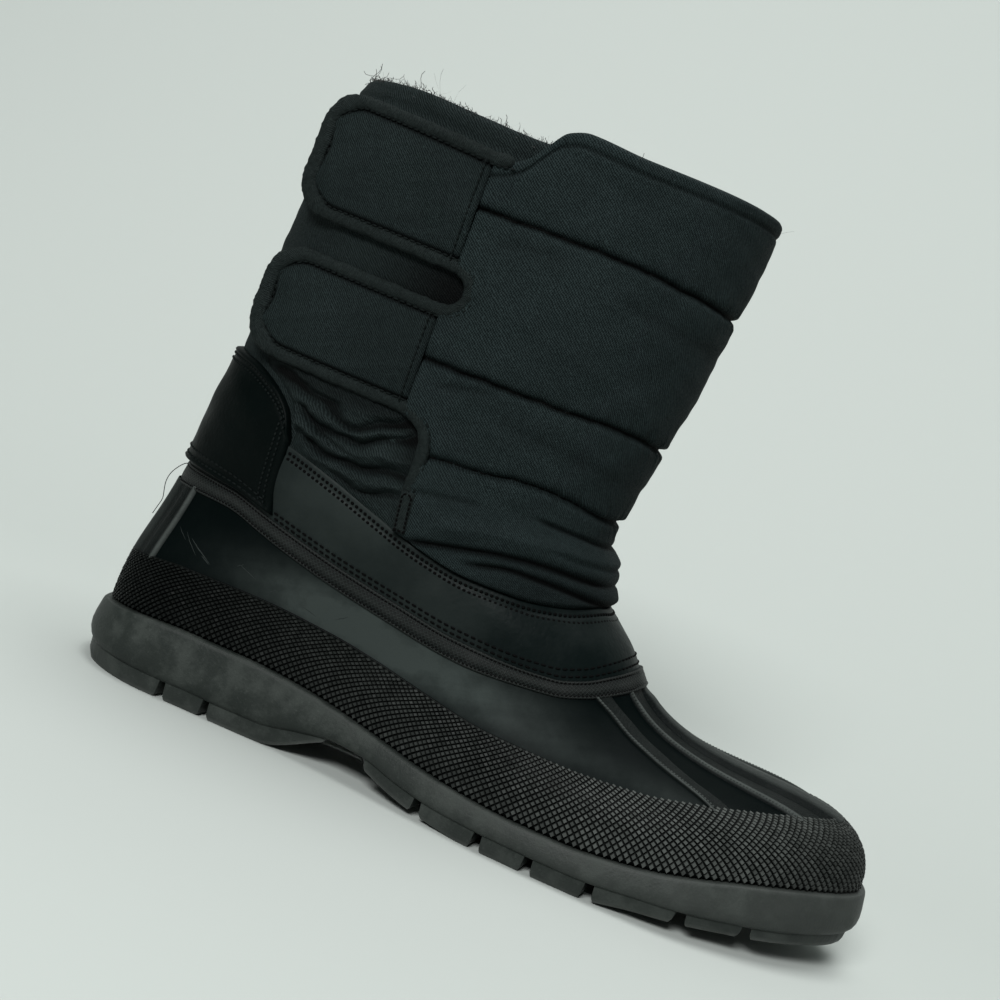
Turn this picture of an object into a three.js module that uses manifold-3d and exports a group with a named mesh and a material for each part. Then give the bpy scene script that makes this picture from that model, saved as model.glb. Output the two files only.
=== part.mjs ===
// A winter boot for the right foot: a lugged outsole, a moulded rubber shell, a leather gaiter, a padded
// shaft with a front panel and two hook-and-loop straps, a leather heel patch and an insole.
// Millimetres. +X runs to the toe, +Y to the inner side of the foot, +Z up. The origin is on the floor,
// under the middle of the boot's box. "at" is always the distance from the back of the heel.
import * as THREE from "three";
import { mergeVertices } from "three/addons/utils/BufferGeometryUtils.js";
import Module from "manifold-3d";

const wasm = await Module();
wasm.setup();

// ---- driving sizes ----
const LENGTH = 304; // of the outsole, heel to toe
const GAP = 0.3; // between pieces that touch
const STATIONS = 32; // points along each side of a ring
const HEEL_ROUND = { length: 36, power: 2.1 }; // how far from the end the outline turns in
const TOE_ROUND = { length: 70, power: 2.3 };
const SHELL_INSET = 5; // the shell stands this far inside the outsole's edge
const SHELL_WALL = 3.2; // rubber with its felt lining
const FOXING_PROUD = 1.3; // the textured band stands out from the smooth shell by this
const GAITER_WALL = 5; // leather with the pile behind it
const SHAFT_WALL = 6; // quilted nylon with the pile behind it
const PANEL_THICK = 3.4;
const STRAP_THICK = 3.6;
const PATCH_THICK = 1.5;
const EMBED = 0.8; // overlays are made this deep into the leg, then trimmed off it
const INSOLE_THICK = 4;
const INSOLE_CLEAR = 2; // between the insole and the shell
const INSOLE_BEVEL = 1.6;
const LUG_SINK = 1.5; // how far a lug runs up into the sole it grows from
const TREAD_INSET = 2.6; // lugs stand this far inside the outsole's edge
const LUG_TAPER = 1; // and their feet this much further
// The outsole's section: how far each ring stands inside the outline, and its share of the way up.
const SOLE_SECTION = [
  { inset: 3, share: 0 },
  { inset: 0.6, share: 0.12 },
  { inset: 0, share: 0.35 },
  { inset: 1.2, share: 0.88 },
  { inset: 2.4, share: 1 },
];

// ---- tables ----
// Half-widths of the outsole on the outer and the inner side of the foot, before the ends turn in.
const SOLE_WIDTH = [
  { at: 0, outer: 36.5, inner: 35 },
  { at: 45, outer: 38.5, inner: 36.5 },
  { at: 85, outer: 38.8, inner: 34 },
  { at: 115, outer: 41.5, inner: 34.5 },
  { at: 148, outer: 48, inner: 43 },
  { at: 180, outer: 53, inner: 51 },
  { at: 208, outer: 54.2, inner: 54.2 },
  { at: 235, outer: 53, inner: 54.2 },
  { at: 265, outer: 47.5, inner: 50.5 },
  { at: 304, outer: 38, inner: 44 },
];
// The sole seen from the side: its top edge, the root that the lugs hang from, and the lugs' feet.
const SOLE_TOP = [
  { at: 0, z: 21.5 },
  { at: 20, z: 24.4 },
  { at: 45, z: 26.4 },
  { at: 70, z: 26.3 },
  { at: 96, z: 24.4 },
  { at: 124, z: 20.3 },
  { at: 145, z: 17 },
  { at: 162, z: 15.2 },
  { at: 180, z: 14.4 },
  { at: 200, z: 14.5 },
  { at: 225, z: 16.8 },
  { at: 243, z: 20.2 },
  { at: 261, z: 24.2 },
  { at: 280, z: 27.4 },
  { at: 296, z: 29.3 },
  { at: 304, z: 30 },
];
const SOLE_ROOT = [
  { at: 0, z: 9 },
  { at: 12, z: 6.6 },
  { at: 83, z: 6.2 },
  { at: 100, z: 9.8 },
  { at: 112, z: 12 },
  { at: 124, z: 11.6 },
  { at: 140, z: 8.4 },
  { at: 160, z: 6.2 },
  { at: 205, z: 5.8 },
  { at: 230, z: 7.6 },
  { at: 256, z: 9.8 },
  { at: 282, z: 12.6 },
  { at: 304, z: 16 },
];
const HEEL_FOOT = [
  { at: 0, z: 4.5 },
  { at: 5, z: 1.4 },
  { at: 12, z: 0 },
  { at: 84, z: 0 },
  { at: 110, z: 10.8 },
];
const FOREFOOT_FOOT = [
  { at: 124, z: 8.4 },
  { at: 137, z: 4.2 },
  { at: 150, z: 1.8 },
  { at: 160, z: 0.5 },
  { at: 167, z: 0 },
  { at: 208, z: 0 },
  { at: 230, z: 3 },
  { at: 256, z: 5.8 },
  { at: 282, z: 8.6 },
  { at: 296, z: 10.6 },
  { at: 304, z: 12.6 },
];
const HEEL_TREAD = { from: 3, to: 109 };
const FOREFOOT_TREAD = { from: 126, to: 300 };
// The gaps between the blocks along the sole's two edges.
const EDGE_GAPS = [
  { at: 45, wide: 3.8 },
  { at: 63, wide: 3.8 },
  { at: 149, wide: 4.2 },
  { at: 173, wide: 4.2 },
  { at: 192, wide: 4.2 },
  { at: 214, wide: 4.4 },
  { at: 245, wide: 4.8 },
  { at: 267, wide: 4.2 },
];
const EDGE_BLOCK_DEPTH = 0.5; // share of the half-width that an edge block takes
const INNER_EDGE_SHIFT = 4; // the inner side's gaps sit this much further forward
const CENTRE_GROOVE = 3.2; // between the edge blocks and the middle ones
const GAP_SKEW = 2.5; // the gaps lean forward as they run in
const BLOCK_WAIST = 3; // an edge block is this much narrower in its middle
const BLOCK_OVERRUN = { ends: 5, side: 70 }; // edge blocks are drawn too long and too wide, then trimmed
const TOE_STOP = 18; // the inner ends of the edge blocks stop narrowing this far from the toe
// A middle block: its shoulders and ends as shares of its reach, its widest place as a share of its length,
// and how far its nose stands out and its tail is notched.
const MIDDLE_BLOCK = { shoulder: 0.6, tail: 0.72, widest: 0.55, nose: 2.4, notch: 2.6, clear: 4 };
const PRISM = { from: -10, deep: 60 }; // the height that the uncut blocks span
// Heights, along the foot, of the lines that divide the upper.
const FOXING_TOP = [
  { at: 0, z: 42 },
  { at: 8, z: 43 },
  { at: 38, z: 47.6 },
  { at: 68, z: 48.2 },
  { at: 97, z: 46.7 },
  { at: 116, z: 44.4 },
  { at: 135, z: 41.2 },
  { at: 163, z: 37.7 },
  { at: 191, z: 37.2 },
  { at: 217, z: 38.8 },
  { at: 235, z: 41.8 },
  { at: 254, z: 45.4 },
  { at: 274, z: 48.6 },
  { at: 291, z: 49.6 },
];
const SHELL_TOP = [
  { at: 14, z: 81.2 },
  { at: 43, z: 80.2 },
  { at: 59, z: 77 },
  { at: 76, z: 73.4 },
  { at: 93, z: 70 },
  { at: 117, z: 66 },
  { at: 140, z: 62.6 },
  { at: 163, z: 61.4 },
  { at: 176, z: 61.9 },
  { at: 186, z: 64.6 },
  { at: 193, z: 68.2 },
  { at: 199, z: 71.6 },
];
const GAITER_TOP = [
  { at: 16, z: 106.5 },
  { at: 40, z: 105.6 },
  { at: 61, z: 102.6 },
  { at: 80, z: 97.9 },
  { at: 99, z: 91.8 },
  { at: 117, z: 86.2 },
  { at: 136, z: 82.8 },
  { at: 154, z: 82.4 },
  { at: 168, z: 84 },
  { at: 180, z: 87.6 },
];
// Level sections through the ankle and the leg: where each begins and ends along the foot, its half-widths
// and how square it is (2 is an ellipse).
const LEG = [
  { z: 56, back: 9.5, front: 214, outer: 40.5, inner: 37.5, power: 2.5 },
  { z: 62, back: 11, front: 209, outer: 39.8, inner: 37, power: 2.5 },
  { z: 66, back: 12, front: 205, outer: 39.4, inner: 37, power: 2.45 },
  { z: 71, back: 13, front: 200, outer: 39.2, inner: 37.2, power: 2.4 },
  { z: 76, back: 14, front: 194.5, outer: 39.2, inner: 37.6, power: 2.35 },
  { z: 82, back: 15, front: 187, outer: 39.6, inner: 38.4, power: 2.3 },
  { z: 87, back: 15.6, front: 182.2, outer: 40.4, inner: 39.4, power: 2.3 },
  { z: 92, back: 16.2, front: 179.4, outer: 41, inner: 40.4, power: 2.3 },
  { z: 100, back: 17, front: 176.4, outer: 41.8, inner: 41.4, power: 2.3 },
  { z: 112, back: 18, front: 171, outer: 42, inner: 41.8, power: 2.3 },
  { z: 124, back: 19, front: 172.5, outer: 42.4, inner: 42.2, power: 2.3 },
  { z: 148, back: 19.6, front: 176.5, outer: 43.6, inner: 43.4, power: 2.25 },
  { z: 173, back: 20, front: 180.5, outer: 44.6, inner: 44.6, power: 2.2 },
  { z: 200, back: 21.6, front: 184, outer: 45.4, inner: 45.4, power: 2.15 },
  { z: 238, back: 25, front: 186.5, outer: 46.2, inner: 46.2, power: 2.1 },
];
const ANKLE_LEVEL = 80; // a first guess at the height of the lines that divide the upper
const LEG_PIVOT = 120; // behind this the rings keep the sole's stations, in front of it they crowd together
const THROAT = 199; // front of the shell's opening
const COLLAR = [
  { at: 24, z: 237.6 },
  { at: 55, z: 236 },
  { at: 85, z: 233 },
  { at: 107, z: 231.6 },
  { at: 140, z: 232.4 },
  { at: 187, z: 234.4 },
];
// The front panel's outer edge, from the gaiter up past both straps: how far back it reaches at a height.
const PANEL_EDGE = [
  { z: 84, at: 110 },
  { z: 95, at: 109 },
  { z: 108, at: 108.4 },
  { z: 117, at: 107.4 },
  { z: 124, at: 105 },
  { z: 128, at: 99.5 },
  { z: 129.6, at: 94.8 },
  { z: 166, at: 94.8 },
  { z: 168.4, at: 98 },
  { z: 171, at: 100.6 },
  { z: 174.5, at: 101.8 },
  { z: 178, at: 100.4 },
  { z: 180, at: 97.6 },
  { z: 181.8, at: 94.8 },
  { z: 219, at: 94.8 },
  { z: 240, at: 94.8 },
];
const PANEL_ROWS = [
  85, 93, 103, 112, 119, 124, 128, 129.6, 148, 166, 168.4, 171, 174.5, 178, 180, 181.8, 200, 220, 240,
];
const PANEL_INNER_END = 104; // where the panel ends on the inner side of the leg
const PANEL_TOP = [
  { at: 94, z: 219.2 },
  { at: 99, z: 220.4 },
  { at: 106, z: 224.4 },
  { at: 111, z: 231 },
  { at: 116, z: 237 },
  { at: 123, z: 239 },
  { at: 144, z: 237.8 },
  { at: 188, z: 238.8 },
];
const STRAP_ROOT = 94; // where both straps are sewn to the panel
const STRAP_CORNER_CUT = 0.92; // share of a corner's radius by which a strap's end has narrowed
const STRAPS = [
  { name: "strap_upper", low: 180.4, high: 222.2, rise: 2.6, tip: 33, corner: 15, lift: 2.6 },
  { name: "strap_lower", low: 129.6, high: 168, rise: 1.4, tip: 34, corner: 15, lift: 2 },
];
const PATCH_REACH = 60; // how far forward the heel patch comes on each side
const PATCH_LEVEL = 100; // the height at which that reach is measured
const PATCH_TOP = [
  { at: 19, z: 128.6 },
  { at: 32, z: 126.6 },
  { at: 44, z: 122.2 },
  { at: 52, z: 117.6 },
  { at: 57, z: 112.6 },
  { at: 60, z: 106 },
];

const COLOURS = {
  outsole: { color: 0x4b4f4e, roughness: 0.72 },
  shell: { color: 0x1d1f20, roughness: 0.5 },
  leather: { color: 0x222525, roughness: 0.48 },
  nylon: { color: 0x17191b, roughness: 0.85 },
  pile: { color: 0x3a3b3a, roughness: 0.95 },
};

// ---- curves ----
// A smooth curve through one column of a table, with no overshoot between its rows.
function curve(rows, value, key = "at") {
  const x = rows.map((r) => r[key]);
  const y = rows.map((r) => r[value]);
  const last = x.length - 1;
  const slope = x.slice(1).map((v, i) => (y[i + 1] - y[i]) / (v - x[i]));
  const tangent = x.map((_, i) => {
    if (i === 0) return slope[0];
    if (i === last) return slope[last - 1];
    if (slope[i - 1] * slope[i] <= 0) return 0;
    return (2 * slope[i - 1] * slope[i]) / (slope[i - 1] + slope[i]);
  });
  return (at) => {
    if (at <= x[0]) return y[0];
    if (at >= x[last]) return y[last];
    const i = x.findIndex((v) => v > at) - 1;
    const h = x[i + 1] - x[i];
    const t = (at - x[i]) / h;
    const rise = (y[i + 1] - y[i]) * t * t * (3 - 2 * t);
    return y[i] + rise + h * t * (1 - t) * (tangent[i] * (1 - t) - tangent[i + 1] * t);
  };
}
const mix = (a, b, t) => a + (b - a) * t;
const clamp01 = (t) => Math.min(1, Math.max(0, t));
const round = (share, power) => Math.pow(1 - Math.pow(clamp01(share), power), 1 / power);

const widthOf = { outer: curve(SOLE_WIDTH, "outer"), inner: curve(SOLE_WIDTH, "inner") };
const soleTop = curve(SOLE_TOP, "z");
const soleRoot = curve(SOLE_ROOT, "z");
const foxingTop = curve(FOXING_TOP, "z");
const shellTop = curve(SHELL_TOP, "z");
const gaiterTop = curve(GAITER_TOP, "z");
const collar = curve(COLLAR, "z");
const panelTop = curve(PANEL_TOP, "z");
const patchTop = curve(PATCH_TOP, "z");
const panelEdge = curve(PANEL_EDGE, "at", "z");
const leg = Object.fromEntries(
  ["back", "front", "outer", "inner", "power"].map((name) => [name, curve(LEG, name, "z")]),
);

// The outsole's half-width, drawn in by an even inset all round.
function soleHalf(side, at, inset = 0) {
  const stretched = (LENGTH / 2) * (1 + (at / (LENGTH / 2) - 1) / (1 - (2 * inset) / LENGTH));
  const heel = round(1 - stretched / HEEL_ROUND.length, HEEL_ROUND.power);
  const toe = round(1 - (LENGTH - stretched) / TOE_ROUND.length, TOE_ROUND.power);
  return Math.max(0, (widthOf[side](stretched) - inset) * heel * toe);
}

// ---- rings ----
// A ring runs up the outer side from heel to toe and back down the inner side. pointAt takes the share of
// the way to the toe, 0 to 1, and the side.
function ring(pointAt) {
  const stations = Array.from({ length: STATIONS }, (_, i) => {
    const angle = (Math.PI * (i + 0.5)) / STATIONS;
    return (1 - Math.cos(angle)) / 2;
  });
  const outer = stations.map((share) => pointAt(share, "outer"));
  const inner = stations.map((share) => pointAt(share, "inner")).reverse();
  return [...outer, ...inner];
}
const sideSign = { outer: -1, inner: 1 };
const place = (at, y, z) => new THREE.Vector3(at - LENGTH / 2, y, z);

// A ring on the sole's outline at an inset, at the heights that height(at) gives.
function soleRing(inset, height, from = 0, to = LENGTH) {
  return ring((share, side) => {
    const at = mix(Math.max(from, inset), Math.min(to, LENGTH - inset), share);
    return place(at, sideSign[side] * soleHalf(side, at, inset), height(at));
  });
}

// Where a station on the sole's outline sits on the leg's narrower rings, as a share from back to front.
function legShare(share) {
  const at = share * LENGTH;
  if (at < LEG_PIVOT) return at / THROAT;
  const squeeze = (LENGTH - LEG_PIVOT) / (THROAT - LEG_PIVOT);
  const t = (at - LEG_PIVOT) / (LENGTH - LEG_PIVOT);
  return (LEG_PIVOT + ((THROAT - LEG_PIVOT) * squeeze * t) / (1 + (squeeze - 1) * t)) / THROAT;
}
// A point on the leg's surface at a height; out moves it off the surface, level and square to it.
function legPoint(share, side, z, out = 0) {
  const middle = (leg.back(z) + leg.front(z)) / 2;
  const reach = (leg.front(z) - leg.back(z)) / 2;
  const across = leg[side](z);
  const power = leg.power(z);
  const along = Math.min(0.99999, Math.max(-0.99999, 2 * share - 1));
  const width = Math.pow(1 - Math.pow(Math.abs(along), power), 1 / power);
  const nx = (Math.sign(along) * Math.pow(Math.abs(along), power - 1)) / reach;
  const ny = Math.pow(width, power - 1) / across;
  const size = Math.hypot(nx, ny);
  return place(
    middle + along * reach + (out * nx) / size,
    sideSign[side] * (across * width + (out * ny) / size),
    z,
  );
}
// The share at which the leg's surface lies at a distance from the heel.
const shareAt = (at, z) => clamp01((at - leg.back(z)) / (leg.front(z) - leg.back(z)));
// A point of the leg on a dividing line, found by stepping to the line's height.
function legLinePoint(share, side, line, out = 0, rise = 0) {
  let z = line(mix(leg.back(ANKLE_LEVEL), leg.front(ANKLE_LEVEL), share)) + rise;
  for (let step = 0; step < 12; step++)
    z = line(legPoint(share, side, z).x + LENGTH / 2) + rise;
  return legPoint(share, side, z, out);
}

// ---- the shell: curves from the sole's edge to the opening ----
const SIDE_PULL = { foot: 0.45, rim: 0.5, reach: 0.4 };
const TOE_PULL = { foot: 0.95, rim: 0.89, reach: 0.25 };
const TOE_RUN = { from: 12, over: 80 }; // how far a curve reaches outwards before and until it counts as toe
function shellPoint(share, side, t, out = 0) {
  const spot = (dShare, dt) => {
    const s = clamp01(share + dShare);
    const at = mix(SHELL_INSET, LENGTH - SHELL_INSET, s);
    const foot = place(at, sideSign[side] * soleHalf(side, at, SHELL_INSET), soleTop(at) + GAP);
    const rim = legLinePoint(legShare(s), side, shellTop);
    const rise = rim.z - foot.z;
    const run = new THREE.Vector3(foot.x - rim.x, foot.y - rim.y, 0);
    const toeward = clamp01((run.length() - TOE_RUN.from) / TOE_RUN.over);
    const footPull = mix(SIDE_PULL.foot, TOE_PULL.foot, toeward) * rise;
    const rimPull = mix(SIDE_PULL.rim, TOE_PULL.rim, toeward) * rise;
    const low = foot.clone().add(new THREE.Vector3(0, 0, footPull));
    const reach = mix(SIDE_PULL.reach, TOE_PULL.reach, toeward);
    const high = rim.clone().addScaledVector(run, reach).setZ(rim.z - rimPull);
    return new THREE.CubicBezierCurve3(foot, low, high, rim).getPoint(clamp01(t + dt));
  };
  const here = spot(0, 0);
  if (out === 0) return here;
  const along = spot(0.004, 0).sub(spot(-0.004, 0));
  const up = spot(0, 0.01).sub(spot(0, -0.01));
  const normal = up.cross(along).normalize().multiplyScalar(sideSign[side]);
  return here.addScaledVector(normal, out);
}
// How far up a shell curve the foxing ends.
function foxingShare(share, side) {
  let low = 0;
  let high = 1;
  for (let step = 0; step < 20; step++) {
    const t = (low + high) / 2;
    const p = shellPoint(share, side, t);
    if (p.z < foxingTop(p.x + LENGTH / 2)) low = t;
    else high = t;
  }
  return low;
}

// ---- meshes ----
function geometryOf(points, triangles) {
  const positions = new Float32Array(points.flatMap((p) => [p.x, p.y, p.z]));
  const made = new THREE.BufferGeometry();
  made.setAttribute("position", new THREE.BufferAttribute(positions, 3));
  made.setIndex(triangles);
  return made;
}
// Joins rings into a skin. A closed stack runs up the outside and down the inside of a wall, and an open one
// gets a face across each end.
function stack(rings, closed) {
  const count = rings[0].length;
  const triangles = [];
  const quad = (a, b, c, d) => triangles.push(a, b, c, a, c, d);
  const pairs = closed ? rings.length : rings.length - 1;
  for (let r = 0; r < pairs; r++) {
    const low = r * count;
    const high = ((r + 1) % rings.length) * count;
    for (let i = 0; i < count; i++) {
      const j = (i + 1) % count;
      quad(low + i, low + j, high + j, high + i);
    }
  }
  if (!closed) {
    const top = (rings.length - 1) * count;
    for (let i = 0; i < count / 2 - 1; i++) {
      const j = count - 1 - i;
      quad(i, j, j - 1, i + 1);
      quad(top + i, top + i + 1, top + j - 1, top + j);
    }
  }
  return geometryOf(rings.flat(), triangles);
}
// A sheet with thickness, from a grid of points: pointAt(row, column, face), where face is 0 inside and 1
// outside.
function slab(rows, columns, pointAt) {
  const points = [];
  for (const face of [0, 1])
    for (let r = 0; r <= rows; r++)
      for (let c = 0; c <= columns; c++) points.push(pointAt(r / rows, c / columns, face, r));
  const id = (face, r, c) => (face * (rows + 1) + r) * (columns + 1) + c;
  const triangles = [];
  const quad = (a, b, c, d) => triangles.push(a, b, c, a, c, d);
  for (let r = 0; r < rows; r++)
    for (let c = 0; c < columns; c++) {
      quad(id(1, r, c), id(1, r, c + 1), id(1, r + 1, c + 1), id(1, r + 1, c));
      quad(id(0, r, c), id(0, r + 1, c), id(0, r + 1, c + 1), id(0, r, c + 1));
    }
  for (let c = 0; c < columns; c++) {
    quad(id(0, 0, c), id(0, 0, c + 1), id(1, 0, c + 1), id(1, 0, c));
    quad(id(1, rows, c), id(1, rows, c + 1), id(0, rows, c + 1), id(0, rows, c));
  }
  for (let r = 0; r < rows; r++) {
    quad(id(1, r, 0), id(1, r + 1, 0), id(0, r + 1, 0), id(0, r, 0));
    quad(id(0, r, columns), id(0, r + 1, columns), id(1, r + 1, columns), id(1, r, columns));
  }
  return geometryOf(points, triangles);
}
function facingOut(geometry) {
  const p = geometry.getAttribute("position");
  const index = geometry.index.array;
  const [a, b, c] = [0, 1, 2].map(() => new THREE.Vector3());
  let volume = 0;
  for (let i = 0; i < index.length; i += 3) {
    [a, b, c].forEach((v, k) => v.fromBufferAttribute(p, index[i + k]));
    volume += a.dot(b.cross(c));
  }
  if (volume > 0) return geometry;
  for (let i = 0; i < index.length; i += 3) [index[i + 1], index[i + 2]] = [index[i + 2], index[i + 1]];
  return geometry;
}
function solidOf(geometry) {
  const bare = geometry.clone();
  for (const name of Object.keys(bare.attributes)) if (name !== "position") bare.deleteAttribute(name);
  const merged = mergeVertices(bare, 1e-4);
  return new wasm.Manifold(
    new wasm.Mesh({
      numProp: 3,
      vertProperties: merged.attributes.position.array,
      triVerts: new Uint32Array(merged.index.array),
    }),
  );
}
function geometryFrom(solid) {
  const mesh = solid.getMesh();
  const made = new THREE.BufferGeometry();
  made.setAttribute("position", new THREE.BufferAttribute(mesh.vertProperties, mesh.numProp));
  made.setIndex(new THREE.BufferAttribute(mesh.triVerts, 1));
  return made;
}

// ---- the outsole ----
function outsoleBody() {
  const height = (share) => (at) => mix(soleRoot(at), soleTop(at), share);
  const rings = SOLE_SECTION.map(({ inset, share }) => soleRing(inset, height(share)));
  return facingOut(stack(rings, false));
}
function treadSlab(feet, zone) {
  const foot = curve(feet, "z");
  return facingOut(
    stack(
      [
        soleRing(TREAD_INSET + LUG_TAPER, foot, zone.from, zone.to),
        soleRing(TREAD_INSET, (at) => soleRoot(at) + LUG_SINK, zone.from, zone.to),
      ],
      false,
    ),
  );
}
// An upright prism on a plan outline of [at, y] corners.
function prism(corners) {
  const shape = new THREE.Shape(corners.map(([at, y]) => new THREE.Vector2(at - LENGTH / 2, y)));
  const made = new THREE.ExtrudeGeometry(shape, { depth: PRISM.deep, bevelEnabled: false });
  return made.translate(0, 0, PRISM.from);
}
// One row of blocks along an edge, between one gap and the next.
function edgeBlocks(side, zone) {
  const sign = sideSign[side];
  const shift = side === "inner" ? INNER_EDGE_SHIFT : 0;
  const gaps = EDGE_GAPS.filter((gap) => gap.at > zone.from && gap.at < zone.to);
  const { ends: overrun, side: beyond } = BLOCK_OVERRUN;
  const starts = [zone.from - overrun, ...gaps.map((gap) => gap.at + shift + gap.wide / 2)];
  const ends = [...gaps.map((gap) => gap.at + shift - gap.wide / 2), zone.to + overrun];
  return starts.map((start, i) => {
    const inward = (at) => sign * soleHalf(side, Math.min(at, LENGTH - TOE_STOP), 0) * EDGE_BLOCK_DEPTH;
    const waist = (start + ends[i]) / 2;
    return prism([
      [start, sign * beyond],
      [ends[i], sign * beyond],
      [ends[i] + GAP_SKEW, inward(ends[i])],
      [waist, inward(waist) - sign * BLOCK_WAIST],
      [start + GAP_SKEW, inward(start)],
    ]);
  });
}
// The arrow-shaped blocks down the middle.
function middleBlocks(zone, pitch, first) {
  const { shoulder, tail, widest, nose, notch, clear } = MIDDLE_BLOCK;
  const blocks = [];
  for (let at = first; at + pitch <= zone.to - clear; at += pitch) {
    const middle = at + pitch / 2;
    const reach = (side) => sideSign[side] * (soleHalf(side, middle, 0) * EDGE_BLOCK_DEPTH - CENTRE_GROOVE);
    const [a, b] = [reach("outer"), reach("inner")];
    const long = pitch - CENTRE_GROOVE;
    blocks.push(
      prism([
        [at, a * tail],
        [at + long * widest, a],
        [at + long, a * shoulder],
        [at + long + nose, (a + b) / 2],
        [at + long, b * shoulder],
        [at + long * widest, b],
        [at, b * tail],
        [at + notch, (a + b) / 2],
      ]),
    );
  }
  return blocks;
}
function outsole() {
  let whole = solidOf(outsoleBody());
  const zones = [
    { feet: HEEL_FOOT, zone: HEEL_TREAD, pitch: 23, first: 14 },
    { feet: FOREFOOT_FOOT, zone: FOREFOOT_TREAD, pitch: 24, first: 124 },
  ];
  for (const { feet, zone, pitch, first } of zones) {
    const tread = solidOf(treadSlab(feet, zone));
    const blocks = [
      ...edgeBlocks("outer", zone),
      ...edgeBlocks("inner", zone),
      ...middleBlocks(zone, pitch, first),
    ];
    for (const block of blocks) whole = whole.add(solidOf(block).intersect(tread));
  }
  return geometryFrom(whole);
}

// ---- the uppers ----
function insole() {
  const inset = SHELL_INSET + SHELL_WALL + INSOLE_CLEAR;
  const under = (at) => soleTop(at) + GAP;
  const over = (at) => soleTop(at) + GAP + INSOLE_THICK;
  return facingOut(stack([soleRing(inset, under), soleRing(inset + INSOLE_BEVEL, over)], false));
}
function shell() {
  const foxingLevels = [0, 0.5, 1];
  const smoothLevels = [0.03, 0.22, 0.42, 0.62, 0.82, 1];
  const level = (pick, out) => ring((share, side) => shellPoint(share, side, pick(share, side), out));
  const outside = [
    ...foxingLevels.map((f) => level((share, side) => f * foxingShare(share, side), FOXING_PROUD)),
    ...smoothLevels.map((f) => level((share, side) => mix(foxingShare(share, side), 1, f), 0)),
  ];
  const insideLevels = [1, 0.75, 0.5, 0.25, 0];
  const inside = insideLevels.map((t) => level(() => t, -SHELL_WALL));
  // The cut edges lie level with the outer skin, so the wall closes flat on the sole and under the gaiter.
  inside[0].forEach((p, i) => (p.z = outside.at(-1)[i].z));
  inside.at(-1).forEach((p) => (p.z = soleTop(p.x + LENGTH / 2) + GAP));
  outside[0].forEach((p) => (p.z = soleTop(p.x + LENGTH / 2) + GAP));
  return facingOut(stack([...outside, ...inside], true));
}
function legRings(lowLine, highLine, levels, out, rise) {
  const level = (t) =>
    ring((share, side) => {
      const s = legShare(share);
      const low = legLinePoint(s, side, lowLine, 0, rise).z;
      const high = legLinePoint(s, side, highLine).z;
      return legPoint(s, side, mix(low, high, t), out);
    });
  return levels.map(level);
}
function wallBetween(lowLine, highLine, levels, wall, rise) {
  const outside = legRings(lowLine, highLine, levels, 0, rise);
  const sparse = levels.filter((_, i) => i % 2 === 0).reverse();
  return facingOut(stack([...outside, ...legRings(lowLine, highLine, sparse, -wall, rise)], true));
}
const GAITER_LEVELS = [0, 0.25, 0.5, 0.75, 1];
const SHAFT_LEVELS = [0, 0.06, 0.12, 0.19, 0.26, 0.42, 0.58, 0.79, 1];
const gaiter = () => wallBetween(shellTop, gaiterTop, GAITER_LEVELS, GAITER_WALL, GAP);
const shaft = () => wallBetween(gaiterTop, collar, SHAFT_LEVELS, SHAFT_WALL, GAP);
const FORM_OVERRUN = 10; // the form below reaches this far over the collar
// The gaiter and the shaft filled in and swollen by a little: what an overlay is trimmed against.
function legForm(out) {
  const rings = [
    ...legRings(shellTop, gaiterTop, GAITER_LEVELS, out, GAP),
    ...legRings(gaiterTop, collar, SHAFT_LEVELS, out, GAP),
  ];
  rings.push(rings.at(-1).map((p) => p.clone().setZ(p.z + FORM_OVERRUN)));
  return solidOf(facingOut(stack(rings, false)));
}

// ---- the overlays on the leg ----
// A point on the leg, where turn goes round the front from the outer side, 0 to 1, to the inner, 1 to 2.
function legAround(turn, z, out) {
  return turn <= 1 ? legPoint(turn, "outer", z, out) : legPoint(2 - turn, "inner", z, out);
}
function frontPanel() {
  const heights = PANEL_ROWS;
  const columns = 22;
  const settle = 118; // below this height the rows bend to follow the gaiter
  const crown = 200; // and above this one they bend to the top edge
  return facingOut(
    slab(heights.length - 1, columns, (_, c, face, row) => {
      const rowHeight = heights[row];
      let z = rowHeight;
      let turn = 0;
      for (let step = 0; step < 4; step++) {
        // Even angles round the leg, so that the columns stay apart at the front.
        const from = Math.acos(1 - 2 * shareAt(panelEdge(rowHeight), z));
        const to = 2 * Math.PI - Math.acos(1 - 2 * shareAt(PANEL_INNER_END, z));
        const angle = mix(from, to, c);
        turn = (1 - Math.cos(angle)) / 2;
        if (angle > Math.PI) turn = 2 - turn;
        const at = legAround(turn, z, 0).x + LENGTH / 2;
        const foot = gaiterTop(at) + 2 * GAP;
        const foldIn = (settle - rowHeight) / (settle - heights[0]);
        const foldUp = (rowHeight - crown) / (heights.at(-1) - crown);
        if (rowHeight < settle) z = mix(settle, foot, foldIn);
        if (rowHeight > crown) z = mix(crown, panelTop(at), foldUp);
      }
      return legAround(turn, z, face ? GAP + PANEL_THICK : -EMBED);
    }),
  );
}
// A strap's outline is a rectangle with round corners at its free end.
function strap({ low, high, rise, tip, corner, lift }) {
  const rows = 8;
  const columns = 14;
  return facingOut(
    slab(rows, columns, (r, c, face) => {
      const eased = 1 - (1 - c) * (1 - c);
      const at = mix(STRAP_ROOT, tip, eased);
      const middle = (low + high) / 2 + rise * eased;
      const turned = Math.max(0, 1 - (at - tip) / corner);
      const half = (high - low) / 2 - corner * (1 - round(turned, 2)) * STRAP_CORNER_CUT;
      const z = mix(middle - half, middle + half, r);
      const out = lift * eased * eased + (face ? GAP + STRAP_THICK : -EMBED);
      return legPoint(shareAt(at, z), "outer", z, out);
    }),
  );
}
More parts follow.
